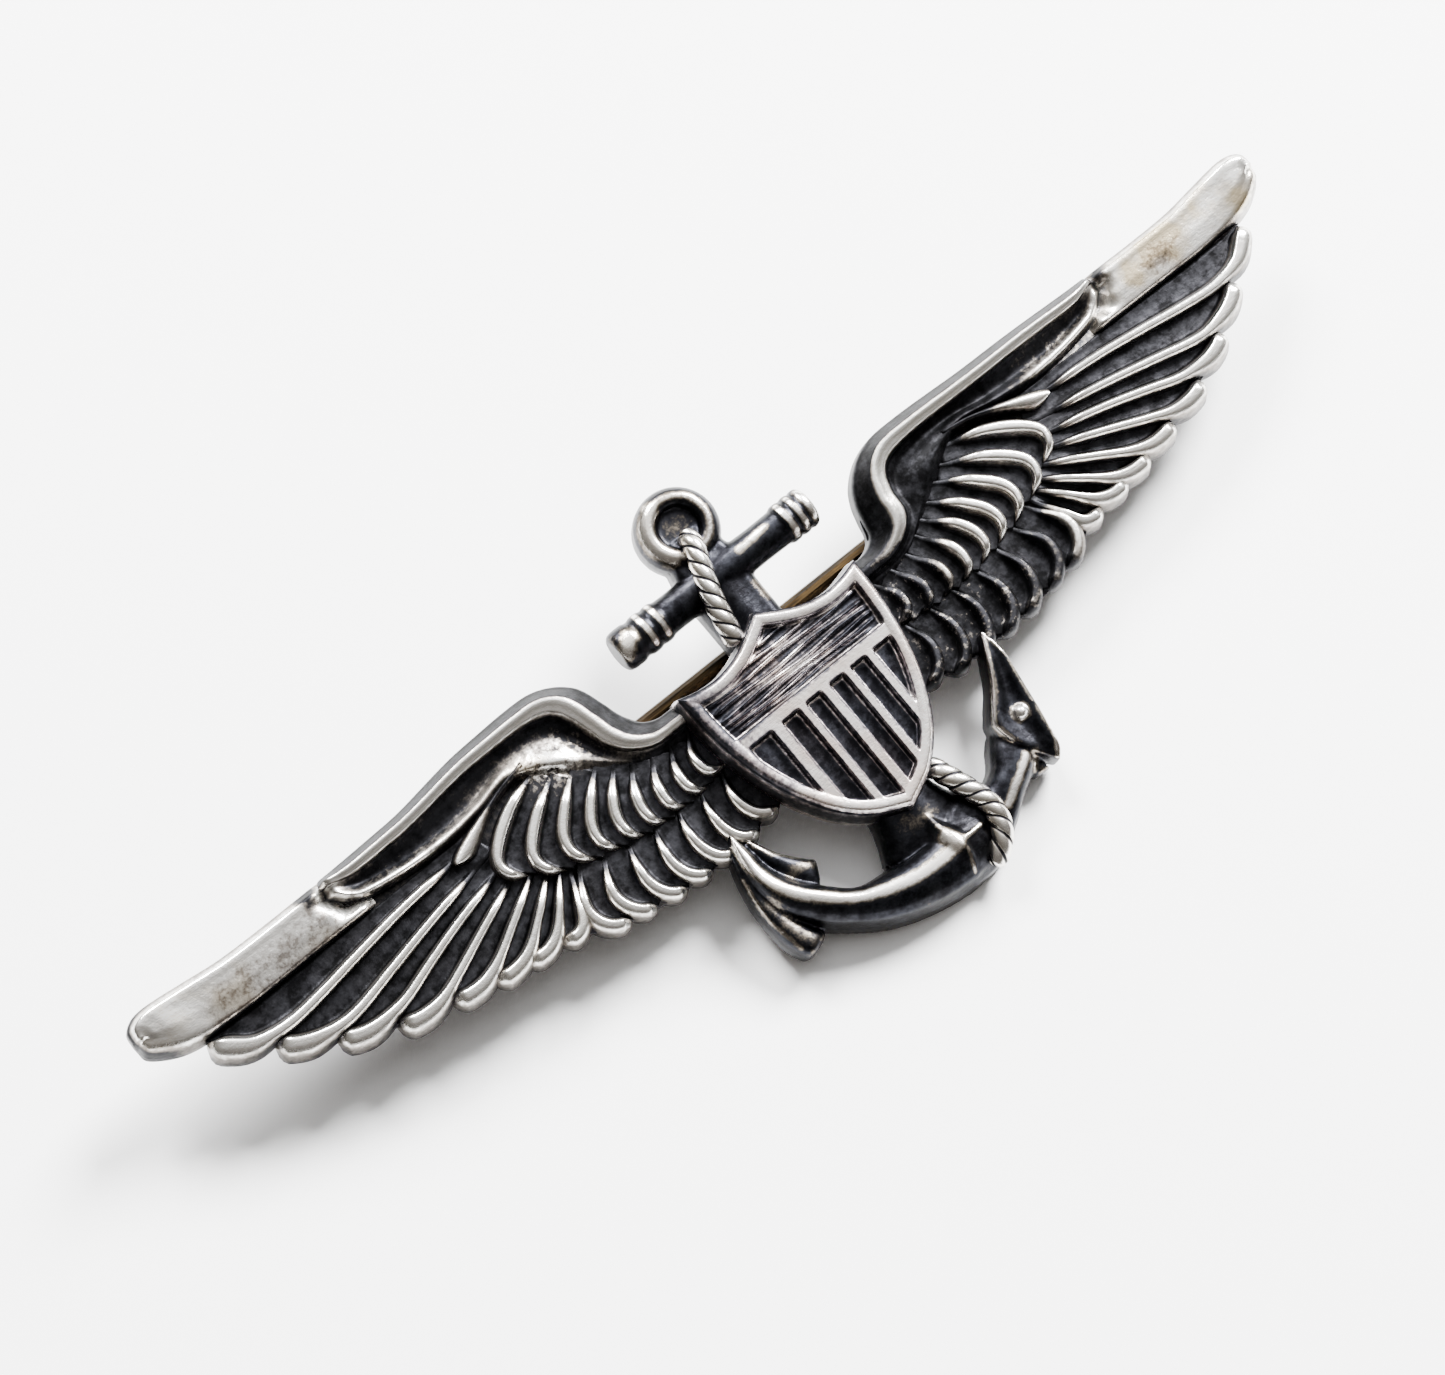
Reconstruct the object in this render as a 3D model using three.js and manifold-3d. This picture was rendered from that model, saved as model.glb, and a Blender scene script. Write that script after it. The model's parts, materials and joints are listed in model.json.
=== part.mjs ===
// Naval pilot's wings pin: two feathered wings, an anchor with its rope and a shield, with a
// roll-over catch, a joint and a hinged pin stem on the back. Millimetres, +Z up. The pin lies
// face up, held off the surface by its catch and joint, with the anchor's crown touching it.
//
// Badge frame, inside the tilted group: +X along the right wing, +Y towards the anchor's ring,
// +Z out of the face, and z = 0 is the flat back of the wings.
import * as THREE from "three";
import { mergeVertices } from "three/addons/utils/BufferGeometryUtils.js";
import Module from "manifold-3d";

const wasm = await Module();
wasm.setup();

// ---- Driving sizes -------------------------------------------------------------------------
const wingSpan = 70;          // tip to tip
const wingDepth = 12;         // shoulder to the lowest feather
const plateThickness = 0.85;  // ground of the wing, under the ribs
const ribHalfWidth = 0.3;     // feather ribs
const ribTop = 1.4;           // height of the ribs above the back
const armHalfWidth = 0.75;    // ridge along the wing's leading edge
const armTop = 1.85;
const anchorSpread = 17.5;    // across the flukes
const anchorHeight = 24.4;    // ring to crown
const anchorThickness = 1.3;  // flat ground of the arms and palms
const shankTop = 1.85;
const stockRadius = 1.0;
const stockLength = 12;
const ringRadius = 1.62;      // to the middle of the ring's wire
const ringWire = 0.52;
const ropeRadius = 0.48;
const shieldWidth = 11;
const shieldHeight = 11.85;   // peak to point
const shieldThickness = 1.4;
const shieldDraft = 0.4;      // how far the base stands out past the face
const shieldRim = 0.75;
const pocketDepth = 0.55;
const stemRadius = 0.5;
const stemReach = 13;         // hinge axis from the middle of the pin
const catchReach = 12.5;      // middle of the catch from the middle of the pin
const stemLine = 3.35;        // y of the stem
const axisDepth = 2.0;        // stem and hinge axis below the back
const eyeRadius = 1.15;
const eyeThickness = 1.2;
const rivetRadius = 0.4;
const earThickness = 0.7;
const earRadius = 1.4;
const footThickness = 0.5;    // soldered feet of the joint and the catch
const cheekThickness = 0.7;
const cheekRadius = 1.7;
const drumRadius = 1.28;
const drumThickness = 1.2;
const trunnionRadius = 0.95;
const tabReach = 2.05;        // end of the catch's lever from its axis
const seam = 0.1;             // solder seam between pieces
const play = 0.06;            // radial running clearance
const sideGap = 0.1;          // clearance beside moving cheeks and eyes

// The wing's outlines are drawn at this size, then stretched to the driving sizes.
const drawnSpan = 70;
const drawnDepth = 12;
const drawnSpread = 17.5;
const drawnHeight = 24.4;

const silver = new THREE.MeshStandardMaterial({ color: 0xb9b7b2, roughness: 0.38, metalness: 1 });
const oxidised = new THREE.MeshStandardMaterial({ color: 0x6d6c6e, roughness: 0.5, metalness: 1 });
const nickel = new THREE.MeshStandardMaterial({ color: 0x9a9992, roughness: 0.4, metalness: 1 });
const brass = new THREE.MeshStandardMaterial({ color: 0x8d744b, roughness: 0.45, metalness: 1 });

// ---- Shared working functions --------------------------------------------------------------
function toSolid(geometry) {
  const bare = geometry.clone();
  bare.deleteAttribute("normal");
  bare.deleteAttribute("uv");
  const merged = mergeVertices(bare, 1e-5);
  const mesh = new wasm.Mesh({
    numProp: 3,
    vertProperties: new Float32Array(merged.attributes.position.array),
    triVerts: new Uint32Array(merged.index.array),
  });
  return new wasm.Manifold(mesh);
}

function toGeometry(solid) {
  const { vertProperties, triVerts, numProp } = solid.getMesh();
  const positions = new Float32Array((vertProperties.length / numProp) * 3);
  for (let i = 0; i < positions.length / 3; i += 1) {
    positions.set(vertProperties.subarray(i * numProp, i * numProp + 3), i * 3);
  }
  const geometry = new THREE.BufferGeometry();
  geometry.setAttribute("position", new THREE.BufferAttribute(positions, 3));
  geometry.setIndex(new THREE.BufferAttribute(new Uint32Array(triVerts), 1));
  geometry.computeVertexNormals();
  return geometry;
}

const join = (geometries) => geometries.map(toSolid).reduce((all, one) => all.add(one));

// A flat outline raised from z = low to z = high.
function slab(points, low, high, holes = []) {
  const shape = new THREE.Shape(points);
  shape.holes = holes.map((hole) => new THREE.Path(hole));
  const geometry = new THREE.ExtrudeGeometry(shape, { depth: high - low, bevelEnabled: false });
  return geometry.translate(0, 0, low);
}

// A bar along a flat path: a low section with sloping sides, from z = low to z = high.
function ridge(points, halfWidth, low, high, steps) {
  const path = new THREE.CatmullRomCurve3(points.map((p) => new THREE.Vector3(p.x, p.y, low)));
  const section = new THREE.Shape([
    new THREE.Vector2(0, -halfWidth),
    new THREE.Vector2(0, halfWidth),
    new THREE.Vector2(low - high, halfWidth * 0.45),
    new THREE.Vector2(low - high, -halfWidth * 0.45),
  ]);
  return new THREE.ExtrudeGeometry(section, { steps, extrudePath: path, bevelEnabled: false });
}

// A round bar along a path, with flat ends.
function roundBar(points, radius, steps, sides) {
  const section = new THREE.Shape();
  for (let i = 0; i < sides; i += 1) {
    const angle = (i / sides) * 2 * Math.PI;
    const x = radius * Math.cos(angle);
    const y = radius * Math.sin(angle);
    if (i === 0) section.moveTo(x, y);
    else section.lineTo(x, y);
  }
  const path = new THREE.CatmullRomCurve3(points);
  return new THREE.ExtrudeGeometry(section, { steps, extrudePath: path, bevelEnabled: false });
}

// The other hand of a geometry: x turned over, and its faces turned back out.
function mirrored(geometry) {
  const copy = geometry.clone().scale(-1, 1, 1);
  const index = copy.index.array;
  for (let i = 0; i < index.length; i += 3) {
    [index[i], index[i + 1]] = [index[i + 1], index[i]];
  }
  copy.computeVertexNormals();
  return copy;
}

const badge = new THREE.Group();

function addPiece(name, geometry, material) {
  const piece = new THREE.Mesh(geometry, material);
  piece.name = name;
  badge.add(piece);
  return piece;
}

// ---- Shield outline, used by its own solid and by the seat under it --------------------------
const shieldCorner = 2.87;
const shieldPeak = 3.9;
const shieldPoint = shieldPeak - shieldHeight;

// Half of the shield from its peak, round the corner and down to its point, moved in by `inset`.
function shieldOutline(inset) {
  const half = shieldWidth / 2 - inset;
  const corner = shieldCorner - inset;
  const peak = shieldPeak - 1.3 * inset;
  const point = shieldPoint + 1.35 * inset;
  const top = new THREE.CubicBezierCurve(
    new THREE.Vector2(0, peak),
    new THREE.Vector2(0.36 * half, corner - 0.37),
    new THREE.Vector2(0.65 * half, corner - 0.67),
    new THREE.Vector2(half, corner),
  );
  const side = new THREE.CubicBezierCurve(
    new THREE.Vector2(half, corner),
    new THREE.Vector2(0.97 * half, corner - 0.385 * (corner - point)),
    new THREE.Vector2(0.71 * half, corner - 0.8 * (corner - point)),
    new THREE.Vector2(0, point),
  );
  const right = [...top.getPoints(5), ...side.getPoints(8).slice(1)];
  const left = right.slice(1, -1).reverse().map((p) => new THREE.Vector2(-p.x, p.y));
  return [...right, ...left].reverse();
}

const seatLevel = plateThickness + 0.4;
const shieldBase = seatLevel + seam;
const shieldFace = shieldBase + shieldThickness;
const shieldSeat = slab(shieldOutline(-shieldDraft - seam), seatLevel, shieldFace + 2);

// ---- Anchor ----------------------------------------------------------------------------------
const anchorAt = (x, y) => new THREE.Vector2((x * anchorSpread) / drawnSpread, (y * anchorHeight) / drawnHeight);
const smooth = (points, steps) => new THREE.SplineCurve(points.map(([x, y]) => anchorAt(x, y))).getPoints(steps);
const shankHalf = 1.7;
const neckY = 7.9;

// Left arm with its two barbs, crown and right arm, as one outline round the bottom of the shank.
const anchorOutline = [
  anchorAt(-shankHalf, neckY),
  anchorAt(-shankHalf, -6.6),
  ...smooth([[-1.85, -7.4], [-3.1, -9.6], [-4.4, -9.2], [-5.4, -8.0]], 8),
  anchorAt(-4.85, -6.9),
  ...smooth([[-5.9, -5.9], [-6.8, -4.5], [-7.4, -3.5]], 4),
  ...smooth([[-8.0, -3.9], [-8.8, -6.0], [-8.8, -9.2], [-8.1, -10.3]], 6),
  ...smooth([[-6.7, -10.2], [-5.0, -11.3], [-2.6, -12.4], [0.2, -12.9]], 6),
  ...smooth([[1.9, -12.6], [3.6, -11.6], [6.1, -10.2]], 4),
  anchorAt(7.1, -10.8),
  ...smooth([[7.7, -10.0], [8.3, -7.4], [8.6, -5.2], [8.2, -3.6]], 5),
  ...smooth([[7.3, -4.9], [6.1, -5.9]], 1),
  anchorAt(4.7, -7.1),
  ...smooth([[4.8, -8.1], [4.2, -8.9], [3.1, -9.5], [2.2, -8.2], [1.95, -7.2]], 8),
  anchorAt(shankHalf, -6.6),
  anchorAt(shankHalf, neckY),
];

function anchorStock() {
  const band = 0.12;
  const end = stockLength / 2;
  const profile = [
    [0, -end], [stockRadius * 0.7, -end], [stockRadius, -end + 0.35], [stockRadius, -end + 0.8],
    [stockRadius - band, -end + 0.9], [stockRadius - band, -end + 1.0],
    [stockRadius, -end + 1.1], [stockRadius, -end + 1.6],
    [stockRadius - band, -end + 1.7], [stockRadius - band, -end + 1.8],
    [stockRadius, -end + 1.9], [stockRadius, -end + 2.4], [stockRadius - 1.5 * band, -end + 2.55],
  ];
  const other = profile.slice().reverse().map(([r, y]) => [r, -y]);
  const points = [...profile, ...other].map(([r, y]) => new THREE.Vector2(r, y));
  return new THREE.LatheGeometry(points, 14).rotateZ(-Math.PI / 2);
}

const stockY = 6.5;
const ringY = 9.35;
const stockCentre = anchorAt(0, stockY);
const ringCentre = anchorAt(0.05, ringY);
const fluke = anchorAt(7.15, -7.8);
const armLine = (points) => points.map(([x, y]) => anchorAt(x, y));
const leftArm = armLine([[-7.5, -4.2], [-7.8, -5.8], [-6.9, -7.9], [-5.0, -9.7], [-2.6, -10.9], [0.3, -11.3]]);
const rightArm = armLine([[0.3, -11.3], [2.6, -11.1], [4.6, -10.3], [6.2, -9.2]]);
const crownRidge = armLine([[0.3, -7.6], [0.4, -9.4], [0.5, -11.6]]);
const rightPalm = armLine([[8.2, -3.7], [7.3, -5.1], [5.7, -7.2], [6.1, -9.2], [7.1, -10.6], [7.7, -9.8], [8.5, -5.2]]);
const shankSlab = [[-shankHalf, neckY], [-shankHalf, -6.6], [-1.9, -8.2], [2.0, -8.2], [shankHalf, -6.6], [shankHalf, neckY]];

const ringTube = new THREE.TorusGeometry(ringRadius, ringWire, 8, 20).translate(ringCentre.x, ringCentre.y, 1.25);
const ringFloor = new THREE.CylinderGeometry(ringRadius, ringRadius, 0.7, 20)
  .rotateX(Math.PI / 2).translate(ringCentre.x, ringCentre.y, 0.75);
const pellet = new THREE.CylinderGeometry(0.3, 0.42, 0.3, 12)
  .rotateX(Math.PI / 2).translate(fluke.x, fluke.y, shankTop + 0.1);

const anchorSolid = join([
  slab(anchorOutline, 0, anchorThickness),
  slab(armLine(shankSlab), 0.2, shankTop),
  ridge(leftArm, 0.75, 0.9, shankTop + 0.15, 9),
  ridge(rightArm, 0.75, 0.9, shankTop, 5),
  ridge(crownRidge, 0.9, 0.9, shankTop + 0.1, 3),
  slab(rightPalm, 0.6, shankTop),
  pellet,
  anchorStock().translate(stockCentre.x, stockCentre.y, 1.25),
  ringTube,
  ringFloor,
]);

// ---- Rope, laid over the shank and round the crown -------------------------------------------
const ropeLevel = shankTop + ropeRadius + seam;
const ropePath = (points) => points.map(([x, y, z]) => {
  const flat = anchorAt(x, y);
  return new THREE.Vector3(flat.x, flat.y, z);
});
// The upper run always ends on the shield's top edge.
const upperRope = [
  ...ropePath([[0.15, 8.6, ropeLevel], [-0.4, 7.2, ropeLevel], [-0.95, 5.6, ropeLevel]]),
  new THREE.Vector3(anchorAt(-1.35, 0).x, shieldPeak - 0.2, ropeLevel),
];
const lowerRope = ropePath([
  [2.15, -7.6, 1.75], [2.75, -9.0, 2.0], [3.2, -10.6, 2.0], [2.4, -12.2, 1.9], [1.3, -12.75, 1.4],
]);
const ropeSides = 8;
const upperRopeSolid = toSolid(roundBar(upperRope, ropeRadius, 8, ropeSides)).subtract(toSolid(shieldSeat));
const lowerRopeSolid = toSolid(roundBar(lowerRope, ropeRadius, 10, ropeSides)).subtract(toSolid(shieldSeat));

// The rope sits in a groove of its own, a seam wider than the rope.
const upperGroove = toSolid(roundBar(upperRope, ropeRadius + seam, 8, ropeSides));
const lowerGroove = toSolid(roundBar(lowerRope, ropeRadius + seam, 10, ropeSides));
const groovedAnchor = anchorSolid.subtract(toSolid(shieldSeat)).subtract(upperGroove).subtract(lowerGroove);
addPiece("anchor", toGeometry(groovedAnchor), oxidised);
addPiece("rope_upper", toGeometry(upperRopeSolid), silver);
addPiece("rope_lower", toGeometry(lowerRopeSolid), silver);

// ---- Wings -----------------------------------------------------------------------------------
const wingAt = (x, y) => new THREE.Vector2((x * wingSpan) / drawnSpan, (y * wingDepth) / drawnDepth);
const line = (points) => points.map(([x, y]) => wingAt(x, y));
const curve = (points, steps) => new THREE.SplineCurve(line(points)).getPoints(steps);

// Where one feather's tip meets the next, from the leading feather in to the shield.
const primaryNotches = [
  [32.4, 4.05], [30.2, 1.9], [27.8, 0.3], [25.2, -0.85], [22.7, -1.5], [20.6, -1.95], [18.8, -2.2], [16.8, -2.5],
];
const tertialNotches = [
  [15.4, -3.2], [14.0, -3.85], [12.5, -4.2], [10.9, -4.4], [9.3, -4.45], [7.8, -4.4], [6.3, -4.3], [4.7, -3.9],
];

// Rounded feather tips between the notches: each bulges down and out from its own notch.
function featherTips(notches) {
  const points = [];
  for (let i = 0; i < notches.length - 1; i += 1) {
    const [x0, y0] = notches[i];
    const [x1, y1] = notches[i + 1];
    const bulge = wingAt(x0 - 0.15 * (x0 - x1), y1 - 0.4);
    const tip = new THREE.QuadraticBezierCurve(wingAt(x0, y0), bulge, wingAt(x1, y1));
    points.push(...tip.getPoints(3).slice(0, -1));
  }
  return points;
}

function wingOutline() {
  const inner = shankHalf * (anchorSpread / drawnSpread) + seam;
  return [
    new THREE.Vector2(inner, wingAt(0, 2.0).y),
    ...line([[5.2, 2.6], [5.7, 3.0]]),
    ...curve([[6.9, 3.0], [7.7, 3.9], [8.0, 5.4], [9.2, 6.95], [11.5, 7.4]], 8),
    ...line([[24, 6.95]]),
    ...curve([[30, 6.95], [33.8, 7.25], [35, 6.35], [34.2, 5.1]], 7),
    ...featherTips([...primaryNotches, ...tertialNotches]),
    wingAt(4.7, -3.9),
    new THREE.Vector2(inner, wingAt(0, -3.4).y),
  ].reverse();
}

// Rib of a primary feather: nearly straight from its root, then curling round the tip.
const primaryRoots = [[19.3, 3.6], [18.9, 2.55], [18.1, 1.8], [17.6, 1.1], [16.5, 0.7], [15.8, 0.25], [15.2, -0.2], [14.9, -0.9]];

function primaryRib(i) {
  const [rx, ry] = primaryRoots[i];
  const [tx, ty] = primaryNotches[i];
  const reach = tx - rx;
  const next = i + 1 < primaryNotches.length ? primaryNotches[i + 1][1] : ty - 0.3;
  return line([
    [rx, ry], [rx + 0.4 * reach, ry + 0.36 * (next - ry)], [rx + 0.72 * reach, next + 0.6], [tx - 0.5, 0.5 * (ty + next) + 0.25],
  ]);
}

// Covert feathers: a rib from the top, bulging out towards the tip, and hooking back underneath.
const coverts = [
  [[13.5, 4.5], [16.1, 3.4], [17.1, 2.25], [16.2, 0.95]],
  [[12.8, 3.75], [14.7, 2.6], [15.6, 1.3], [14.7, 0.1]],
  [[11.8, 3.25], [13.2, 2.2], [14.0, 0.75], [13.2, -0.45]],
  [[10.7, 2.8], [12.0, 1.6], [12.6, 0.3], [11.9, -0.75]],
  [[10.0, 2.2], [10.9, 1.2], [11.3, 0.1], [10.6, -1.0]],
  [[9.3, 1.5], [9.8, 0.6], [10.0, -0.2], [9.3, -1.1]],
  [[8.4, 1.0], [8.7, 0.3], [8.75, -0.4], [8.2, -1.05]],
  [[7.3, 1.0], [7.5, 0.3], [7.55, -0.3], [7.0, -1.0]],
];
const tertials = [
  [[14.5, -1.0], [15.15, -2.2], [14.85, -3.05], [14.2, -3.5]],
  [[13.2, -1.2], [13.7, -2.4], [13.4, -3.2], [12.9, -3.75]],
  [[11.75, -1.4], [12.0, -2.6], [11.8, -3.4], [11.4, -3.9]],
  [[10.25, -1.6], [10.5, -2.7], [10.35, -3.5], [9.9, -4.0]],
  [[8.8, -1.6], [8.95, -2.7], [8.8, -3.2], [8.6, -3.7]],
];

function wingSolid() {
  const low = plateThickness * 0.6;
  const ribs = [...coverts, ...tertials].map((points) => ridge(line(points), ribHalfWidth, low, ribTop, 5));
  for (let i = 0; i < primaryNotches.length; i += 1) {
    ribs.push(ridge(primaryRib(i), ribHalfWidth, low, ribTop, 4));
  }
  const arm = line([
    [23.4, 6.1], [20, 6.4], [13, 6.5], [11, 6.4], [9.6, 5.6], [9.1, 4.3], [8.3, 2.8], [7.2, 2.3], [6.1, 2.25],
  ]);
  const spoon = line([[23.4, 5.9], [22.4, 5.0], [20, 4.65], [16.5, 4.85], [14.4, 5.1]]);
  const leading = line([[23.6, 5.9], [27, 5.7], [31, 5.9], [34.1, 6.35]]);
  const spear = line([[18.6, 3.6], [16.6, 4.2], [14.6, 4.85]]);
  return join([
    slab(wingOutline(), 0, plateThickness),
    ridge(arm, armHalfWidth, low, armTop, 14),
    ridge(spoon, ribHalfWidth * 1.2, low, ribTop + 0.1, 6),
    ridge(leading, armHalfWidth * 1.1, low, armTop - 0.3, 5),
    ridge(spear, ribHalfWidth, low, ribTop, 3),
    ...ribs,
  ]);
}

// A cut-out round the fluke that lies over the lower feathers.
const flukeCut = slab(armLine([
  [6.3, -5.6], [6.9, -3.7], [7.9, -3.1], [8.7, -3.5], [9.1, -5.6],
]), -1, shieldFace);

// The land that the shield rests on: as wide as the shield, whatever the span, and beside the shank.
const landEdge = shankHalf * (anchorSpread / drawnSpread) + seam;
const landSide = slab([
  wingAt(0, -3.4), wingAt(0, 2.0), new THREE.Vector2(shieldWidth, wingAt(0, 2.0).y),
  new THREE.Vector2(shieldWidth, wingAt(0, -3.4).y),
].map((p) => new THREE.Vector2(Math.max(p.x, landEdge), p.y)), 0, seatLevel);
const shieldLand = toSolid(slab(shieldOutline(0.6), 0, seatLevel)).intersect(toSolid(landSide));

function wing(side) {
  const trimmed = wingSolid().subtract(toSolid(shieldSeat)).subtract(toSolid(flukeCut)).add(shieldLand);
  const geometry = toGeometry(trimmed);
  return side > 0 ? geometry : mirrored(geometry);
}

addPiece("wing_right", wing(1), silver);
addPiece("wing_left", wing(-1), silver);

// ---- Shield ----------------------------------------------------------------------------------
const chiefBottom = -0.35;
const slotTop = -1.05;
const slotEdges = [[-4.1, -3.05], [-2.3, -1.35], [-0.85, 0.05], [0.65, 1.45], [1.95, 2.8], [3.35, 4.1]];

function shieldSolid() {
  const pockets = toSolid(slab(shieldOutline(shieldRim), shieldFace - pocketDepth, shieldFace + 1));
  const wide = shieldWidth;
  const box = (x0, x1, y0, y1) => slab([
    new THREE.Vector2(x0, y0), new THREE.Vector2(x1, y0), new THREE.Vector2(x1, y1), new THREE.Vector2(x0, y1),
  ], shieldFace - 2 * pocketDepth, shieldFace + 2);
  const chief = toSolid(box(-wide, wide, chiefBottom, shieldPeak + 1));
  const slots = slotEdges.map(([x0, x1]) => toSolid(box(x0, x1, shieldPoint - 1, slotTop)));
  const keep = [chief, ...slots].reduce((all, one) => all.add(one));
  const base = slab(shieldOutline(-shieldDraft), shieldBase, shieldBase + shieldThickness / 2);
  const face = slab(shieldOutline(0), shieldBase + shieldThickness / 4, shieldFace);
  return join([base, face]).subtract(pockets.intersect(keep));
}

addPiece("shield", toGeometry(shieldSolid()), silver);

// ---- Joint and rivet, soldered behind the right wing -----------------------------------------
// Outline in the plane seen along the hinge: foot on top, round end about the axis.
function lugOutline(footHalf, radius) {
  const top = axisDepth - footThickness - seam;
  const points = [new THREE.Vector2(footHalf, top), new THREE.Vector2(-footHalf, top)];
  const steps = 12;
  for (let i = 0; i <= steps; i += 1) {
    const angle = Math.PI + (i / steps) * Math.PI;
    points.push(new THREE.Vector2(radius * Math.cos(angle), radius * Math.sin(angle)));
  }
  return points;
}

function circle(radius, count = 20) {
  const points = [];
  for (let i = 0; i < count; i += 1) {
    const angle = (i / count) * 2 * Math.PI;
    points.push(new THREE.Vector2(radius * Math.cos(angle), radius * Math.sin(angle)));
  }
  return points;
}

// Extrudes an (x, z) outline across the hinge axis, from y = low to y = high.
const acrossY = (points, low, high) => slab(points, -high, -low).rotateX(Math.PI / 2);
const hingePlace = (geometry) => geometry.translate(stemReach, stemLine, -axisDepth);

function pinJoint() {
  const earInner = eyeThickness / 2 + sideGap;
  const earOuter = earInner + earThickness;
  const ear = lugOutline(earRadius + 0.4, earRadius);
  const foot = new THREE.BoxGeometry(4.4, 2 * earOuter + 0.6, footThickness)
    .translate(0, 0, axisDepth - seam - footThickness / 2);
  const bore = toSolid(acrossY(circle(rivetRadius + play), -5, 5));
  const solid = join([foot, acrossY(ear, earInner, earOuter), acrossY(ear, -earOuter, -earInner)]);
  return hingePlace(toGeometry(solid.subtract(bore)));
}

function jointRivet() {
  const half = eyeThickness / 2 + sideGap + earThickness + play;
  const head = 0.3;
  const profile = [
    [0, -half - head], [0.5, -half - head], [0.7, -half - 0.1], [0.7, -half], [rivetRadius, -half],
    [rivetRadius, half], [0.7, half], [0.7, half + 0.1], [0.5, half + head], [0, half + head],
  ].map(([r, y]) => new THREE.Vector2(r, y));
  return hingePlace(new THREE.LatheGeometry(profile, 20));
}

addPiece("pin_joint", pinJoint(), nickel);
addPiece("joint_rivet", jointRivet(), nickel);

// ---- Pin stem --------------------------------------------------------------------------------
const stemPast = 2.6;         // how far the point shows past the catch
const stemLength = stemReach + catchReach + stemPast;

function pinStem() {
  const taper = 3.2;
  const profile = [
    [0, 0.7], [stemRadius, 0.7], [stemRadius, stemLength - taper], [0.35 * stemRadius, stemLength - 0.4], [0, stemLength],
  ].map(([r, y]) => new THREE.Vector2(r, y));
  const rod = new THREE.LatheGeometry(profile, 12).rotateZ(Math.PI / 2);
  const eye = acrossY(circle(eyeRadius, 24), -eyeThickness / 2, eyeThickness / 2);
  const bore = toSolid(acrossY(circle(rivetRadius + play), -5, 5));
  return hingePlace(toGeometry(join([rod, eye]).subtract(bore)));
}

addPiece("pin_stem", pinStem(), brass);

// ---- Roll-over catch, soldered behind the left wing -------------------------------------------
// Extrudes a (y, z) outline along the stem, from x = low to x = high.
const alongX = (points, low, high) => slab(points, low, high)
  .rotateZ(Math.PI / 2).rotateY(Math.PI / 2);
const catchPlace = (geometry) => geometry.translate(-catchReach, stemLine, -axisDepth);
const slotHalf = stemRadius + play;

// The mouth: a slot from the axis straight down, away from the badge.
const mouth = (half) => new THREE.BoxGeometry(20, 2 * half, 10).translate(0, 0, -5);

function catchBase() {
  const inner = drumThickness / 2 + sideGap;
  const outer = inner + cheekThickness;
  const cheek = lugOutline(cheekRadius + 0.35, cheekRadius);
  const foot = new THREE.BoxGeometry(2 * outer + 0.6, 4.2, footThickness)
    .translate(0, 0, axisDepth - seam - footThickness / 2);
  const bore = toSolid(alongX(circle(trunnionRadius + play, 24), -5, 5));
  const cheeks = join([alongX(cheek, inner, outer), alongX(cheek, -outer, -inner)]);
  const solid = cheeks.subtract(bore).subtract(toSolid(mouth(slotHalf + 0.08))).add(toSolid(foot));
  return catchPlace(toGeometry(solid));
}

// Slotted drum between the cheeks, with trunnions that run in them and a lever tab at its side.
function catchRotor() {
  const end = drumThickness / 2 + sideGap + cheekThickness + play;
  const drum = alongX(circle(drumRadius, 24), -drumThickness / 2, drumThickness / 2);
  const trunnions = alongX(circle(trunnionRadius, 24), -end, end);
  const tab = new THREE.BoxGeometry(0.8, tabReach - drumRadius + 0.4, 0.6)
    .translate(0, (tabReach + drumRadius - 0.4) / 2, 0);
  const seat = toSolid(alongX(circle(slotHalf, 16), -5, 5));
  const solid = join([drum, trunnions, tab]).subtract(seat).subtract(toSolid(mouth(slotHalf)));
  return catchPlace(toGeometry(solid));
}

addPiece("catch_base", catchBase(), nickel);
addPiece("catch_rotor", catchRotor(), nickel);

// ---- Rest on a surface: tilted until the crown and the joint are level ------------------------
const crown = anchorAt(0, -12.9).y;
const jointEdge = stemLine - (eyeThickness / 2 + sideGap + earThickness);
const tilt = Math.atan2(axisDepth + earRadius, jointEdge - crown);
badge.rotation.x = tilt;

const pin = new THREE.Group();
pin.add(badge);
pin.updateMatrixWorld(true);
const bounds = new THREE.Box3().setFromObject(pin, true);
badge.position.set(
  -(bounds.min.x + bounds.max.x) / 2,
  -(bounds.min.y + bounds.max.y) / 2,
  -bounds.min.z,
);
pin.updateMatrixWorld(true);

export default pin;
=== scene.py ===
import bpy
import bmesh
import json
import numpy as np
from mathutils import Matrix, Vector


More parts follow.
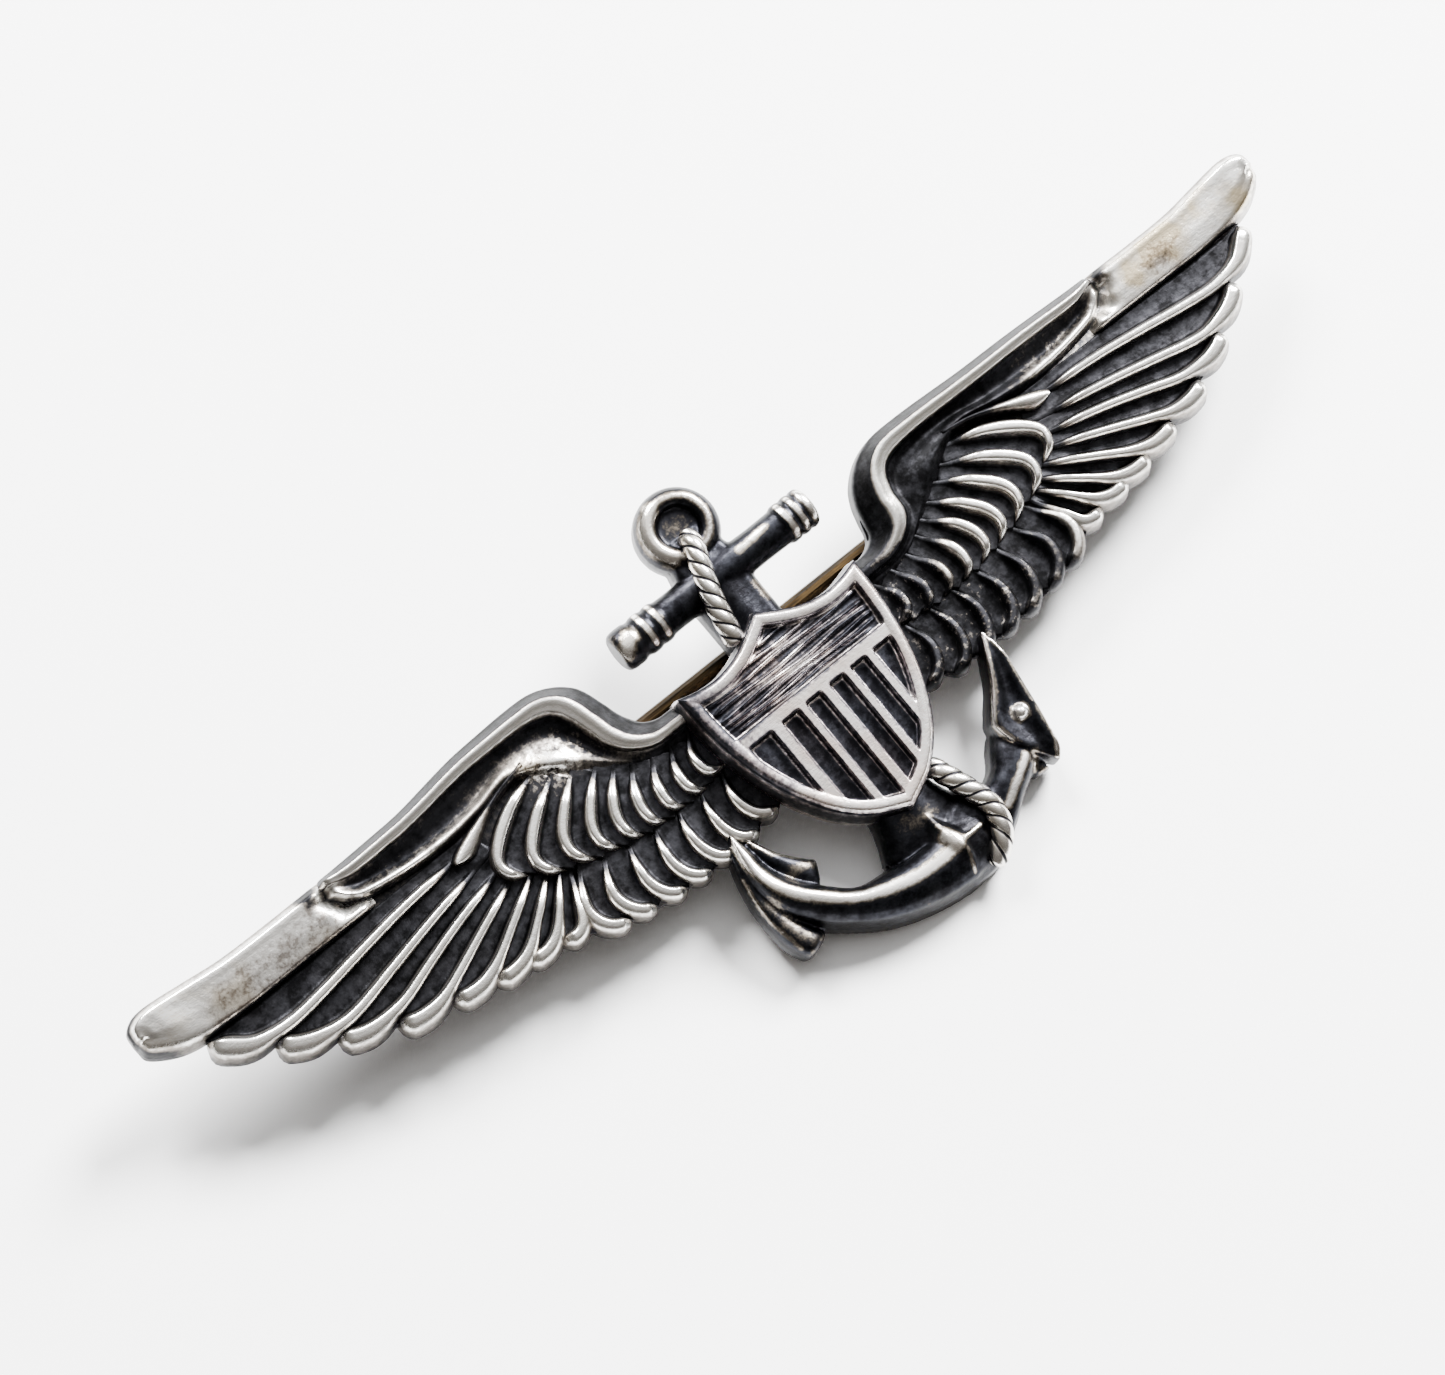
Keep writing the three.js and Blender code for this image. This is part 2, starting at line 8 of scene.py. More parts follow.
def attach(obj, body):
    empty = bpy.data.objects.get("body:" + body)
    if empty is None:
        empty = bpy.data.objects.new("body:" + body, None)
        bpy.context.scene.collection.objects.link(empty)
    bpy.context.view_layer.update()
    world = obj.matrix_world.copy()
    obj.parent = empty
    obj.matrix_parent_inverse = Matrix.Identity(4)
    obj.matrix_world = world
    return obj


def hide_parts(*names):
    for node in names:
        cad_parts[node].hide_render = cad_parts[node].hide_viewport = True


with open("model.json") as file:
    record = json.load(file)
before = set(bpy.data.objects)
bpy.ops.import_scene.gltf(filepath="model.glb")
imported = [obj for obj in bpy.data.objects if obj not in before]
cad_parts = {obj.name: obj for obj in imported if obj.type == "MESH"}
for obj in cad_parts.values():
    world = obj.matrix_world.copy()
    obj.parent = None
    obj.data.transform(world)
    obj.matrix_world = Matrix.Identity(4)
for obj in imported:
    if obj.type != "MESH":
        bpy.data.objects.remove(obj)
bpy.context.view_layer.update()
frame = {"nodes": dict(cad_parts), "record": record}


# ---- Table, daylight and camera --------------------------------------------------------------
# The pin lies face up on a sheet of white card, as a dealer lays it out. Two large soft lamps
# stand beyond the right wing and the anchor's ring, and the pale room fills in the rest.
def linear(hex_colour):
    """sRGB hex to linear light: each channel through the inverse sRGB curve."""
    c = np.array([int(hex_colour[i:i + 2], 16) for i in (0, 2, 4)]) / 255
    return (*np.where(c <= 0.04045, c / 12.92, ((c + 0.055) / 1.055) ** 2.4), 1.0)


def add_node(tree, kind, values=None, links=None, stops=None, **settings):
    """Adds one node: its settings, its unlinked sockets, the outputs joined to it and its stops."""
    node = tree.nodes.new(kind)
    for key, value in settings.items():
        setattr(node, key, value)
    for key, value in (values or {}).items():
        node.inputs[key].default_value = value
    for key, output in (links or {}).items():
        tree.links.new(output, node.inputs[key])
    if stops:
        ramp = node.color_ramp
        for place, colour in stops[1:-1]:
            ramp.elements.new(place)
        for element, (place, colour) in zip(ramp.elements, stops):
            element.position, element.color = place, linear(colour)
    return node


# the camera's place, the way it looks and the way its right side points, in row metres
EYE = Vector((-0.040255, -0.048472, 0.159091))
LOOK = Vector((0.22217, 0.30787, -0.92512))
RIGHT = Vector((0.76187, -0.64692, -0.03232))
lens = bpy.data.cameras.new("badge_camera")
lens.sensor_width, lens.lens = 36.0, 87.6
lens.clip_start, lens.clip_end = 0.005, 10.0
camera = bpy.data.objects.new("badge_camera", lens)
bpy.context.scene.collection.objects.link(camera)
turn = Matrix((RIGHT, RIGHT.cross(LOOK), -LOOK)).transposed()
camera.matrix_world = Matrix.Translation(EYE) @ turn.to_4x4()
bpy.context.scene.camera = camera

card_mesh = bpy.data.meshes.new("white_card")
card_mesh.from_pydata([(-2, -2, 0), (2, -2, 0), (2, 2, 0), (-2, 2, 0)], [], [(0, 1, 2, 3)])
card = bpy.data.objects.new("white_card", card_mesh)
bpy.context.scene.collection.objects.link(card)
coated_card = bpy.data.materials.new("coated_card")
coated_card.use_nodes = True
sheet = coated_card.node_tree.nodes["Principled BSDF"]
sheet.inputs["Base Color"].default_value = linear("fbfbfb")
sheet.inputs["Roughness"].default_value = 0.75
card_mesh.materials.append(coated_card)

room = bpy.data.worlds.new("pale_room")
room.use_nodes = True
bpy.context.scene.world = room
air = room.node_tree
way = add_node(air, "ShaderNodeTexCoord").outputs["Generated"]
toward = add_node(air, "ShaderNodeVectorMath", {1: (0.42, 0.37, 0.83)}, {0: way},
                  operation="DOT_PRODUCT").outputs["Value"]
glow = add_node(air, "ShaderNodeValToRGB", links={"Fac": toward},
                stops=[(0.0, "4a4744"), (0.42, "605d5a"), (0.74, "8b8987"), (0.90, "f6f6f7"),
                       (1.0, "ffffff")])
air.links.new(glow.outputs["Color"], air.nodes["Background"].inputs["Color"])
air.nodes["Background"].inputs["Strength"].default_value = 2.0

for name, place, size, watts in (("window_lamp", (0.34, 0.12, 0.30), 0.20, 16.0),
                                 ("far_fill", (0.06, 0.40, 0.36), 0.22, 10.0)):
    lamp = bpy.data.lights.new(name, "AREA")
    lamp.shape, lamp.size, lamp.energy = "DISK", size, watts
    stand = bpy.data.objects.new(name, lamp)
    bpy.context.scene.collection.objects.link(stand)
    stand.location = place
    stand.rotation_euler = (-Vector(place)).to_track_quat("-Z", "Y").to_euler()


# ---- The two wings ---------------------------------------------------------------------------
# Each wing is one struck piece of sterling silver: a shoulder and spoon, a long leading feather,
# eight more primaries and two rows of coverts, chemically blackened and then rubbed bright on top.
# The badge's own axes and origin follow from the stem's hinge, which lies at hinge_place on it.
joints = {j["name"]: j for j in frame["record"]["behaviour"]["joints"]}
hinge_axis = np.array(joints["stem_hinge"]["axis"])
badge_y = -hinge_axis
badge_turn = np.stack([[1, 0, 0], badge_y, [0, -badge_y[2], badge_y[1]]], 1)
hinge_place = np.array([13.0, 3.35, -2.0])
badge_place = np.array(joints["stem_hinge"]["pos_m"]) - badge_turn @ hinge_place / 1000


def to_row(p):
    """Badge millimetres (x along the right wing, y to the ring, z off the face) to row metres."""
    return p @ badge_turn.T / 1000 + badge_place


def line(points, count, even=True):
    """A Catmull-Rom curve through the points, cut into even lengths, or evenly point by point."""
    p = np.asarray(points, float)
    p = np.vstack([2 * p[0] - p[1], p, 2 * p[-1] - p[-2]])
    t = np.linspace(0, 1, 24, endpoint=False)[:, None]
    a, b, c, d = p[:-3, None], p[1:-2, None], p[2:-1, None], p[3:, None]
    dense = 0.5 * (2 * b + (c - a) * t + (2 * a - 5 * b + 4 * c - d) * t**2
                   + (3 * b - a - 3 * c + d) * t**3)
    dense = np.vstack([dense.reshape(-1, p.shape[1]), p[-2]])
    run = np.arange(len(dense), dtype=float)
    if even:
        run = np.concatenate([[0], np.cumsum(np.linalg.norm(np.diff(dense, axis=0), axis=1))])
    at = np.linspace(0, run[-1], count)
    return np.stack([np.interp(at, run, dense[:, k]) for k in range(dense.shape[1])], 1)


def ease(low, high, x):
    """Smooth step: 0 below low, 1 above high, 3t^2 - 2t^3 between."""
    t = np.clip((x - low) / (high - low), 0, 1)
    return t * t * (3 - 2 * t)


STRIPS = {
    "rise": lambda t: np.sqrt(1 - (1 - t) ** 2),
    "fall": lambda t: 1 - np.sqrt(1 - t**2),
    "soft": lambda t: t * t * (3 - 2 * t),
    "flat": lambda t: t,
}


def shell(rails):
    """A closed shell over rails: each rail is (xy path, height, wear, steps, strip), and across
    the strip to the next rail the place is their straight mix and the height follows the strip's
    quarter round (rise, fall), soft step or line. The last rail closes down to the first."""
    rings, wear = [], []
    for (a, za, wa, steps, strip), (b, zb, wb, _, _) in zip(rails[:-1], rails[1:]):
        for t in np.linspace(0, 1, steps, endpoint=False):
            z = za + (zb - za) * STRIPS[strip](t)
            rings.append(np.column_stack([a + (b - a) * t, z + 0 * a[:, 0]]))
            wear.append(wa + (wb - wa) * t + 0 * a[:, 0])
    last, z, w = rails[-1][:3]
    rings.append(np.column_stack([last, z + 0 * last[:, 0]]))
    wear.append(w + 0 * last[:, 0])
    return np.stack(rings, 1), np.stack(wear, 1)


def grid_faces(n, m, start):
    """Quads between n stations of m points round, and one flat cap at each end."""
    i, j = np.meshgrid(np.arange(n - 1), np.arange(m), indexing="ij")
    a, b = i * m + j, i * m + (j + 1) % m
    quads = np.stack([a, b, b + m, a + m], -1).reshape(-1, 4) + start
    return quads.tolist() + [list(range(start, start + m)),
                             list(range(start + (n - 1) * m, start + n * m))]


def join_shells(shells):
    """All shells' points, faces and wear as one set."""
    points, faces, wear, start = [], [], [], 0
    for grid, worn in shells:
        n, m = grid.shape[:2]
        faces += grid_faces(n, m, start)
        points.append(grid.reshape(-1, 3))
        wear.append(worn.reshape(-1))
        start += n * m
    return np.vstack(points), faces, np.concatenate(wear)


def silver_piece(name, points, faces, wear, material, nodes, fleck=0.0, gilt=0.3, body="badge"):
    """Puts badge-millimetre points into a mesh with outward faces. Each point holds how worn it
    is, how flecked the wear is and how much gold-brown stain it may take."""
    mesh = bpy.data.meshes.new(name)
    mesh.from_pydata(to_row(points).tolist(), [], faces)
    worn = np.stack([wear, fleck + 0 * wear, gilt + 0 * wear], 1).astype(np.float32)
    mesh.attributes.new("worn", "FLOAT_VECTOR", "POINT").data.foreach_set("vector", worn.ravel())
    solid = bmesh.new()
    solid.from_mesh(mesh)
    bmesh.ops.recalc_face_normals(solid, faces=solid.faces)
    solid.to_mesh(mesh)
    solid.free()
    mesh.polygons.foreach_set("use_smooth", [True] * len(mesh.polygons))
    mesh.materials.append(material)
    piece = bpy.data.objects.new(name, mesh)
    bpy.context.scene.collection.objects.link(piece)
    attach(piece, body)
    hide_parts(*nodes)
    return piece


def rubbed_silver(name, oxide, haze, half_rubbed, bright, gold, spots, matt=0.46):
    """Sterling silver, blackened with sulphide and rubbed back. Worn high places are bright and
    smooth, half-worn ones a warm grey, hollows blue-black with a dull haze. The grain is blotches
    from 0.7 mm down, pits from 0.26 mm down and hair scratches 0.05 mm wide, and gold-brown stain
    lies in 2.6 mm clouds. spots is how far the pits vary the wear, matt the hollows' roughness."""
    silver = bpy.data.materials.new(name)
    silver.use_nodes = True
    t = silver.node_tree
    at = add_node(t, "ShaderNodeTexCoord").outputs["Object"]
    held = add_node(t, "ShaderNodeAttribute", attribute_name="worn").outputs["Vector"]
    worn, fleck, gilt = add_node(t, "ShaderNodeSeparateXYZ", links={"Vector": held}).outputs
    blotch = add_node(t, "ShaderNodeTexNoise", {"Scale": 1500.0, "Detail": 5.0, "Roughness": 0.68},
                      {"Vector": at}).outputs["Fac"]
    speck = add_node(t, "ShaderNodeTexNoise", {"Scale": 3800.0, "Detail": 3.0, "Roughness": 0.65},
                     {"Vector": at}).outputs["Fac"]
    cloud = add_node(t, "ShaderNodeTexNoise", {"Scale": 380.0, "Detail": 3.0, "Roughness": 0.55},
                     {"Vector": at}).outputs["Fac"]
    mixed = add_node(t, "ShaderNodeMath", {1: 0.30}, {0: blotch}, operation="MULTIPLY")
    mixed = add_node(t, "ShaderNodeMath", {1: spots}, {0: speck, 2: mixed.outputs[0]},
                     operation="MULTIPLY_ADD")
    shifted = add_node(t, "ShaderNodeMath", {1: 0.15 + spots / 2}, {0: mixed.outputs[0]},
                       operation="SUBTRACT")
    both = add_node(t, "ShaderNodeMath", {}, {0: speck, 1: blotch}, operation="ADD").outputs[0]
    even = add_node(t, "ShaderNodeMath", {1: 1.0}, {0: both}, operation="SUBTRACT").outputs[0]
    salt = add_node(t, "ShaderNodeMath", {1: 1.8}, {0: even}, operation="MULTIPLY").outputs[0]
    salted = add_node(t, "ShaderNodeMath", {}, {0: salt, 1: fleck, 2: shifted.outputs[0]},
                      operation="MULTIPLY_ADD").outputs[0]
    rub = add_node(t, "ShaderNodeMath", {}, {0: worn, 1: salted}, operation="ADD",
                   use_clamp=True).outputs[0]
    cover = add_node(t, "ShaderNodeMath", {1: 0.9}, {0: worn, 2: blotch}, operation="MULTIPLY_ADD")
    film = add_node(t, "ShaderNodeValToRGB", links={"Fac": cover.outputs[0]},
                    stops=[(0.0, oxide), (0.46, oxide), (0.72, haze), (1.0, haze)]).outputs[0]
    metal = add_node(t, "ShaderNodeValToRGB", links={"Fac": rub},
                     stops=[(0.0, oxide), (0.22, oxide), (0.48, half_rubbed), (0.72, bright),
                            (1.0, bright)]).outputs[0]
    bare = add_node(t, "ShaderNodeMapRange", {"From Min": 0.12, "From Max": 0.4}, {"Value": rub})
    colour = add_node(t, "ShaderNodeMix", {}, {"Factor": bare.outputs[0], 6: film, 7: metal},
                      data_type="RGBA").outputs[2]
    patch = add_node(t, "ShaderNodeMapRange", {"From Min": 0.44, "From Max": 0.64},
                     {"Value": cloud}).outputs[0]
    stain = add_node(t, "ShaderNodeMath", {}, {0: patch, 1: gilt}, operation="MULTIPLY").outputs[0]
    tinted = add_node(t, "ShaderNodeMix", {7: linear(gold)}, {"Factor": stain, 6: colour},
                      data_type="RGBA", blend_type="MULTIPLY").outputs[2]
    gloss = add_node(t, "ShaderNodeMapRange", {"From Min": 0.2, "From Max": 0.8, "To Min": matt,
                                               "To Max": 0.22}, {"Value": rub}).outputs[0]
    stretch = add_node(t, "ShaderNodeMapping", {"Scale": (1.0, 7.0, 7.0), "Rotation": (0, 0, 0.35)},
                       {"Vector": at}).outputs[0]
    hair = add_node(t, "ShaderNodeTexNoise", {"Scale": 2800.0, "Detail": 2.0},
                    {"Vector": stretch}).outputs["Fac"]
    relief = add_node(t, "ShaderNodeMath", {1: 0.35}, {0: hair, 2: speck}, operation="MULTIPLY_ADD")
    relief = add_node(t, "ShaderNodeMath", {1: 1.4}, {0: blotch, 2: relief.outputs[0]},
                      operation="MULTIPLY_ADD").outputs[0]
    bump = add_node(t, "ShaderNodeBump", {"Strength": 0.38, "Distance": 0.00003},
                    {"Height": relief}).outputs[0]
    body = t.nodes["Principled BSDF"]
    body.inputs["Metallic"].default_value = 1.0
    for socket, output in (("Base Color", tinted), ("Roughness", gloss), ("Normal", bump)):
        t.links.new(output, body.inputs[socket])
    return silver


wing_silver = rubbed_silver("struck_sterling_wings", oxide="0f0f10", haze="2a2a2d",
                            half_rubbed="86807a", bright="fcfaf5", gold="d8c6a2", spots=0.30)

# Rib paths from root to tip, in badge millimetres on the right wing. Each primary's vane runs
# up to the rib above it, and each covert's vane runs inwards under the next covert's rib.
PRIMARIES = [
    [(19.3, 3.6), (22, 3.38), (24.5, 3.05), (27, 2.68), (29, 2.5), (30.6, 2.75), (31.6, 3.4), (32.25, 4.05)],
    [(18.9, 2.55), (21.5, 2.05), (24, 1.5), (26, 1.05), (27.2, .95), (28.4, 1.2), (29.3, 1.6), (29.9, 2.1)],
    [(18.1, 1.8), (20.5, 1.2), (22.5, .6), (24.2, .05), (25.2, -.08), (26.2, -.05), (27, .15), (27.6, .5)],
    [(17.6, 1.1), (19.7, .25), (21.5, -.5), (22.7, -.95), (23.6, -1.08), (24.5, -1.0), (25.1, -.75)],
    [(16.5, .7), (18.3, -.35), (19.8, -1.2), (20.9, -1.58), (21.8, -1.62), (22.5, -1.45)],
    [(15.8, .25), (17.1, -.8), (18.2, -1.6), (19, -1.95), (19.8, -2.05), (20.4, -1.95)],
    [(15.25, -.1), (16.2, -1.2), (17, -1.95), (17.7, -2.27), (18.3, -2.3), (18.7, -2.2)],
    [(14.9, -.8), (15.4, -1.75), (15.8, -2.4), (16.3, -2.62), (16.8, -2.5)]]
COVERTS = [
    [(13.5, 4.5), (15, 3.95), (16.3, 3.15), (17.05, 2.3), (16.9, 1.5), (16.1, .9)],
    [(12.8, 3.75), (14.3, 2.85), (15.3, 1.95), (15.6, 1.25), (15.35, .55), (14.6, 0)],
    [(11.8, 3.3), (12.9, 2.4), (13.75, 1.5), (14, .7), (13.75, 0), (13.1, -.5)],
    [(10.7, 2.8), (11.7, 1.9), (12.4, 1), (12.6, .2), (12.35, -.4), (11.8, -.8)],
    [(10, 2.2), (10.75, 1.4), (11.2, .6), (11.3, -.1), (11.1, -.65), (10.5, -1.05)],
    [(9.3, 1.6), (9.75, .9), (10, .2), (10, -.4), (9.8, -.85), (9.2, -1.15)],
    [(8.3, 1.2), (8.65, .6), (8.8, 0), (8.8, -.5), (8.55, -.9), (8, -1.15)],
    [(7.2, 1.1), (7.5, .5), (7.6, -.1), (7.5, -.6), (7.2, -.95), (6.6, -1.05)],
    [(6.1, 1.1), (6.4, .6), (6.45, 0), (6.3, -.45), (5.9, -.7), (5.2, -.75)]]
TERTIALS = [
    [(14.4, -.6), (14.95, -1.5), (15.15, -2.2), (15, -2.85), (14.6, -3.35), (14, -3.65)],
    [(13.1, -.9), (13.55, -1.7), (13.7, -2.4), (13.5, -3.1), (13.1, -3.6), (12.6, -3.9)],
    [(11.7, -1.1), (11.95, -1.9), (12, -2.7), (11.8, -3.4), (11.4, -3.9), (10.9, -4.15)],
    [(10.2, -1.2), (10.45, -2), (10.5, -2.8), (10.3, -3.5), (9.9, -4), (9.4, -4.25)],
    [(8.75, -1.3), (8.95, -2), (8.95, -2.8), (8.75, -3.5), (8.4, -4), (7.9, -4.25)],
    [(7.3, -1.3), (7.5, -2), (7.5, -2.8), (7.3, -3.5), (6.9, -4), (6.4, -4.2)],
    [(5.9, -1.3), (6.1, -2), (6.05, -2.7), (5.8, -3.3), (5.4, -3.7), (4.9, -3.9)]]
UNDER_LEADING = [(16, 4.35), (22, 4.3), (26, 4.25), (30, 4.2), (31.8, 4.2), (32.6, 4.35)]


def feather(rib, edge, side, crest, vane, half, tip_wall, root=2.2, tail=0.6, moon=0.0, stations=64):
    """One feather: a round rib along its path, standing up from a vane that runs across to the
    nearest point of the edge path. The rib swells out of the vane at the root and sinks again at
    the tail, and its outer wall widens into a rounded lobe at the tip. side is +1 if the outer
    side lies right of the way, half is half the rib's width, and moon makes the rib a crescent,
    widest half way along."""
    r = np.asarray(rib, float)
    first = r[0] - root * (r[1] - r[0]) / np.linalg.norm(r[1] - r[0])
    last = r[-1] + 0.25 * (r[-1] - r[-2]) / np.linalg.norm(r[-1] - r[-2])
    path = line(np.vstack([first, r, last]), stations)
    run = np.concatenate([[0], np.cumsum(np.linalg.norm(np.diff(path, axis=0), axis=1))])
    along = np.gradient(path, axis=0)
    along /= np.linalg.norm(along, axis=1)[:, None]
    out = side * np.column_stack([along[:, 1], -along[:, 0]])
    e = np.asarray(edge, float)
    before = e[0] - root * (e[1] - e[0]) / np.linalg.norm(e[1] - e[0])
    dense = line(np.vstack([before, e]), 400)
    near = np.argmin(np.linalg.norm(path[:, None] - dense[None], axis=2), axis=1)
    far = dense[np.maximum.accumulate(near)]
    left = run[-1] - run
    grow = ease(root * 0.6, root + 1.3, run)
    close = np.sqrt(np.clip(left / tail, 0, 1)) if tip_wall > 0.3 else ease(0, tail, left)
    tip = ease(3.6, 1.3, left)
    part = run / run[-1]
    crescent = 0.25 + np.sin(np.pi * part**0.9) ** 1.5
    swell = (1 - moon) * (0.40 + 0.30 * grow + 0.55 * part) + moon * crescent
    slim = half * swell * (0.15 + 0.85 * close)
    room = np.clip(np.linalg.norm(far - path, axis=1) / 0.6, 0.05, 1)
    stand = (crest - vane) * grow * (0.15 + 0.85 * close)
    top = vane + stand - 0.5 * vane * tip * (1 - close)
    wall = (0.09 + (tip_wall - 0.09) * tip) * (0.2 + 0.8 * close)
    reach = lambda k: path + out * (k * np.ones(stations))[:, None]
    inner = lambda k: path - out * (k * slim * room)[:, None]
    bright = grow * (0.25 + 0.75 * close)
    rails = [(reach(0.95 * slim + wall), 0.06, 0.04 + 0.24 * tip, 3, "flat"),
             (reach(0.85 * slim + 0.72 * wall), 0.62 * top, 0.10 + 0.34 * tip, 6, "rise"),
             (reach(0.25 * slim), top - 0.01, bright, 2, "flat"),
             (inner(0.25), top, bright, 4, "fall"),
             (inner(0.95), top - 0.42 * stand, 0.72 * bright, 2, "soft"),
             # the vane: unworn at its foot, a little worn in its middle and unworn at its far edge under the
             # next rib; the grooves' dark is oxide, and at the far edge also painted shade
             (inner(1.5), vane - 0.02 + 0 * top, 0.0, 3, "flat"),
             (0.6 * inner(1.5) + 0.4 * far, vane - 0.05 + 0 * top, 0.12, 3, "flat"),
             (far, vane - 0.03 + 0 * top, 0.0, 1, "flat"),
             (far, 0.06 + 0 * top, 0.0, 1, "flat")]
    return shell(rails)


# The arm: outer outline, ridge, foot of the ridge, floor of the hollow, rim and inner boundary,
# station by station from the spoon's end over the shoulder to the shield.
ARM = np.array([
    [(24.1, 6.93), (24.28, 6.6), (24.32, 6.35), (24.32, 6.15), (24.28, 5.95), (24.2, 5.8)],
    [(23.95, 6.95), (23.85, 6.6), (23.82, 6.35), (23.8, 6.15), (23.8, 5.9), (23.98, 5.6)],
    [(23.3, 6.97), (23.2, 6.48), (23.1, 6.15), (23.15, 5.85), (23.3, 5.42), (23.5, 5.15)],
    [(22.3, 7.01), (22.3, 6.42), (22.3, 6.02), (22.4, 5.6), (22.6, 5.08), (22.75, 4.8)],
    [(20, 7.1), (20, 6.5), (20, 6.05), (20.3, 5.3), (20.6, 4.78), (20.8, 4.47)],
    [(18, 7.18), (18, 6.53), (18, 6.08), (18.1, 5.3), (18.3, 4.68), (18.4, 4.35)],
    [(16, 7.25), (16, 6.57), (16, 6.1), (16.1, 5.4), (16.2, 4.88), (16.2, 4.55)],
    [(14, 7.35), (14, 6.62), (14, 6.12), (14.1, 5.7), (14.4, 5.2), (14.2, 4.9)],
    [(12.2, 7.42), (12.2, 6.64), (12.4, 6.1), (12.6, 5.7), (13.0, 4.9), (12.9, 4.3)],
    [(10.7, 7.35), (10.9, 6.57), (11.2, 5.95), (11.5, 5.5), (12.1, 4.5), (11.8, 3.6)],
    [(9.5, 6.9), (10.05, 6.17), (10.5, 5.65), (10.8, 5.2), (11.5, 4.2), (10.9, 3.1)],
    [(8.55, 6.1), (9.5, 5.5), (10.1, 5.1), (10.4, 4.8), (10.9, 3.8), (10.2, 2.65)],
    [(8.05, 5.2), (9.2, 4.6), (9.85, 4.35), (10.1, 4.1), (10.3, 3.3), (9.5, 2.25)],
    [(7.75, 4.3), (8.95, 3.7), (9.5, 3.4), (9.7, 3.2), (9.6, 2.7), (8.85, 1.9)],
    [(7.25, 3.45), (8.4, 2.85), (8.75, 2.55), (8.85, 2.4), (8.8, 2.1), (8.2, 1.6)],
    [(6.5, 3.05), (7.4, 2.3), (7.6, 1.95), (7.65, 1.85), (7.65, 1.7), (7.4, 1.35)],
    [(5.6, 3.0), (6.2, 2.22), (6.3, 1.88), (6.3, 1.8), (6.3, 1.65), (6.2, 1.25)],
    [(4.6, 2.95), (4.6, 2.22), (4.6, 1.88), (4.6, 1.8), (4.6, 1.65), (4.6, 1.25)]])
ARM_HEIGHT = np.array([  # ridge, foot, floor, rim, inner boundary at the same stations
    [.80, .72, .70, .70, .60], [1.50, 1.42, 1.38, 1.38, .70], [1.60, 1.25, 1.12, 1.36, .70],
    [1.66, 1.12, .86, 1.32, .70],
    [1.72, 1.15, .84, 1.28, .70], [1.76, 1.16, .84, 1.26, .70], [1.80, 1.17, .86, 1.24, .75],
    [1.84, 1.17, .92, 1.30, .80], [1.88, 1.17, .98, 1.38, .85], [1.90, 1.14, .95, 1.42, .90],
    [1.92, 1.10, .90, 1.36, .90], [1.92, 1.08, .90, 1.22, .90], [1.90, 1.08, .95, 1.12, .90],
    [1.86, 1.10, 1.0, 1.05, .90], [1.78, 1.18, 1.08, 1.02, .88], [1.66, 1.20, 1.1, 1.0, .88],
    [1.58, 1.18, 1.1, 1.0, .88], [1.55, 1.15, 1.1, 1.0, .88]])
ARM_WEAR = np.array([    # outer wall, ridge, foot, floor, rim, inner boundary
    [.3, .2, .1, .1, .1, .05], [.42, .9, .75, .6, .8, .1], [.42, 1, .35, .2, .75, .05],
    [.34, 1, .25, .05, .75, .05],
    [.3, 1, .2, .05, .72, .05], [.28, 1, .2, .12, .6, .05], [.26, 1, .15, .25, .5, .05],
    [.24, 1, .1, .3, .5, .3], [.2, 1, .08, .25, .45, .3], [.18, 1, .05, .2, .45, .3],
    [.16, 1, .05, .12, .42, .3], [.15, 1, .08, .1, .35, .3], [.15, 1, .15, .12, .3, .25],
    [.2, 1, .25, .2, .35, .2], [.2, 1, .35, .3, .3, .12], [.2, .95, .35, .2, .15, .05],
    [.2, .8, .2, .1, .1, .05], [.2, .6, .1, .1, .1, .05]])
LEADING = np.array([     # outer top, ridge, foot, middle, lower edge, outer bottom, root to tip
    [(21.6, 6.9), (21.6, 6.4), (21.6, 6.0), (21.6, 5.3), (21.6, 4.6), (21.6, 4.22)],
    [(24, 6.93), (24, 6.38), (24, 6.0), (24, 5.3), (24, 4.55), (24, 4.2)],
    [(27, 6.9), (27, 6.36), (27, 5.98), (27, 5.3), (27, 4.52), (27, 4.18)],
    [(29.6, 6.94), (29.6, 6.4), (29.6, 6.0), (29.6, 5.3), (29.6, 4.5), (29.6, 4.15)],
    [(31.6, 7.16), (31.5, 6.62), (31.4, 6.1), (31.2, 5.4), (31.0, 4.62), (31.2, 4.2)],
    [(32.8, 7.30), (32.6, 6.74), (32.5, 6.22), (32.3, 5.6), (32.0, 4.8), (32.3, 4.2)],
    [(33.8, 7.36), (33.4, 6.82), (33.2, 6.3), (33.1, 5.75), (32.9, 5.1), (33.5, 4.45)],
    [(34.5, 7.24), (33.95, 6.78), (33.75, 6.35), (33.65, 5.9), (33.6, 5.45), (34.4, 4.9)],
    [(35.0, 6.85), (34.35, 6.6), (34.1, 6.3), (34.05, 6.0), (34.1, 5.75), (35.0, 5.4)],
    [(35.1, 6.2), (34.5, 6.2), (34.4, 6.15), (34.38, 6.1), (34.42, 6.05), (35.08, 5.95)]])
LEADING_HEIGHT = np.array([1.50, 1.47, 1.44, 1.34])
SPEAR = np.array([       # upper edge, ridge, lower edge of the short blade over the coverts
    [(13.2, 5.35), (13.2, 5.2), (13.2, 5.0)], [(14.6, 5.1), (14.7, 4.95), (14.8, 4.7)],
    [(16, 4.75), (16, 4.5), (16, 4.2)], [(17.2, 4.4), (17.1, 4.05), (16.9, 3.65)],
    [(18.2, 4.05), (17.9, 3.7), (17.5, 3.28)], [(18.75, 3.68), (18.4, 3.5), (18.0, 3.22)],
    [(18.72, 3.45), (18.6, 3.42), (18.45, 3.35)]])
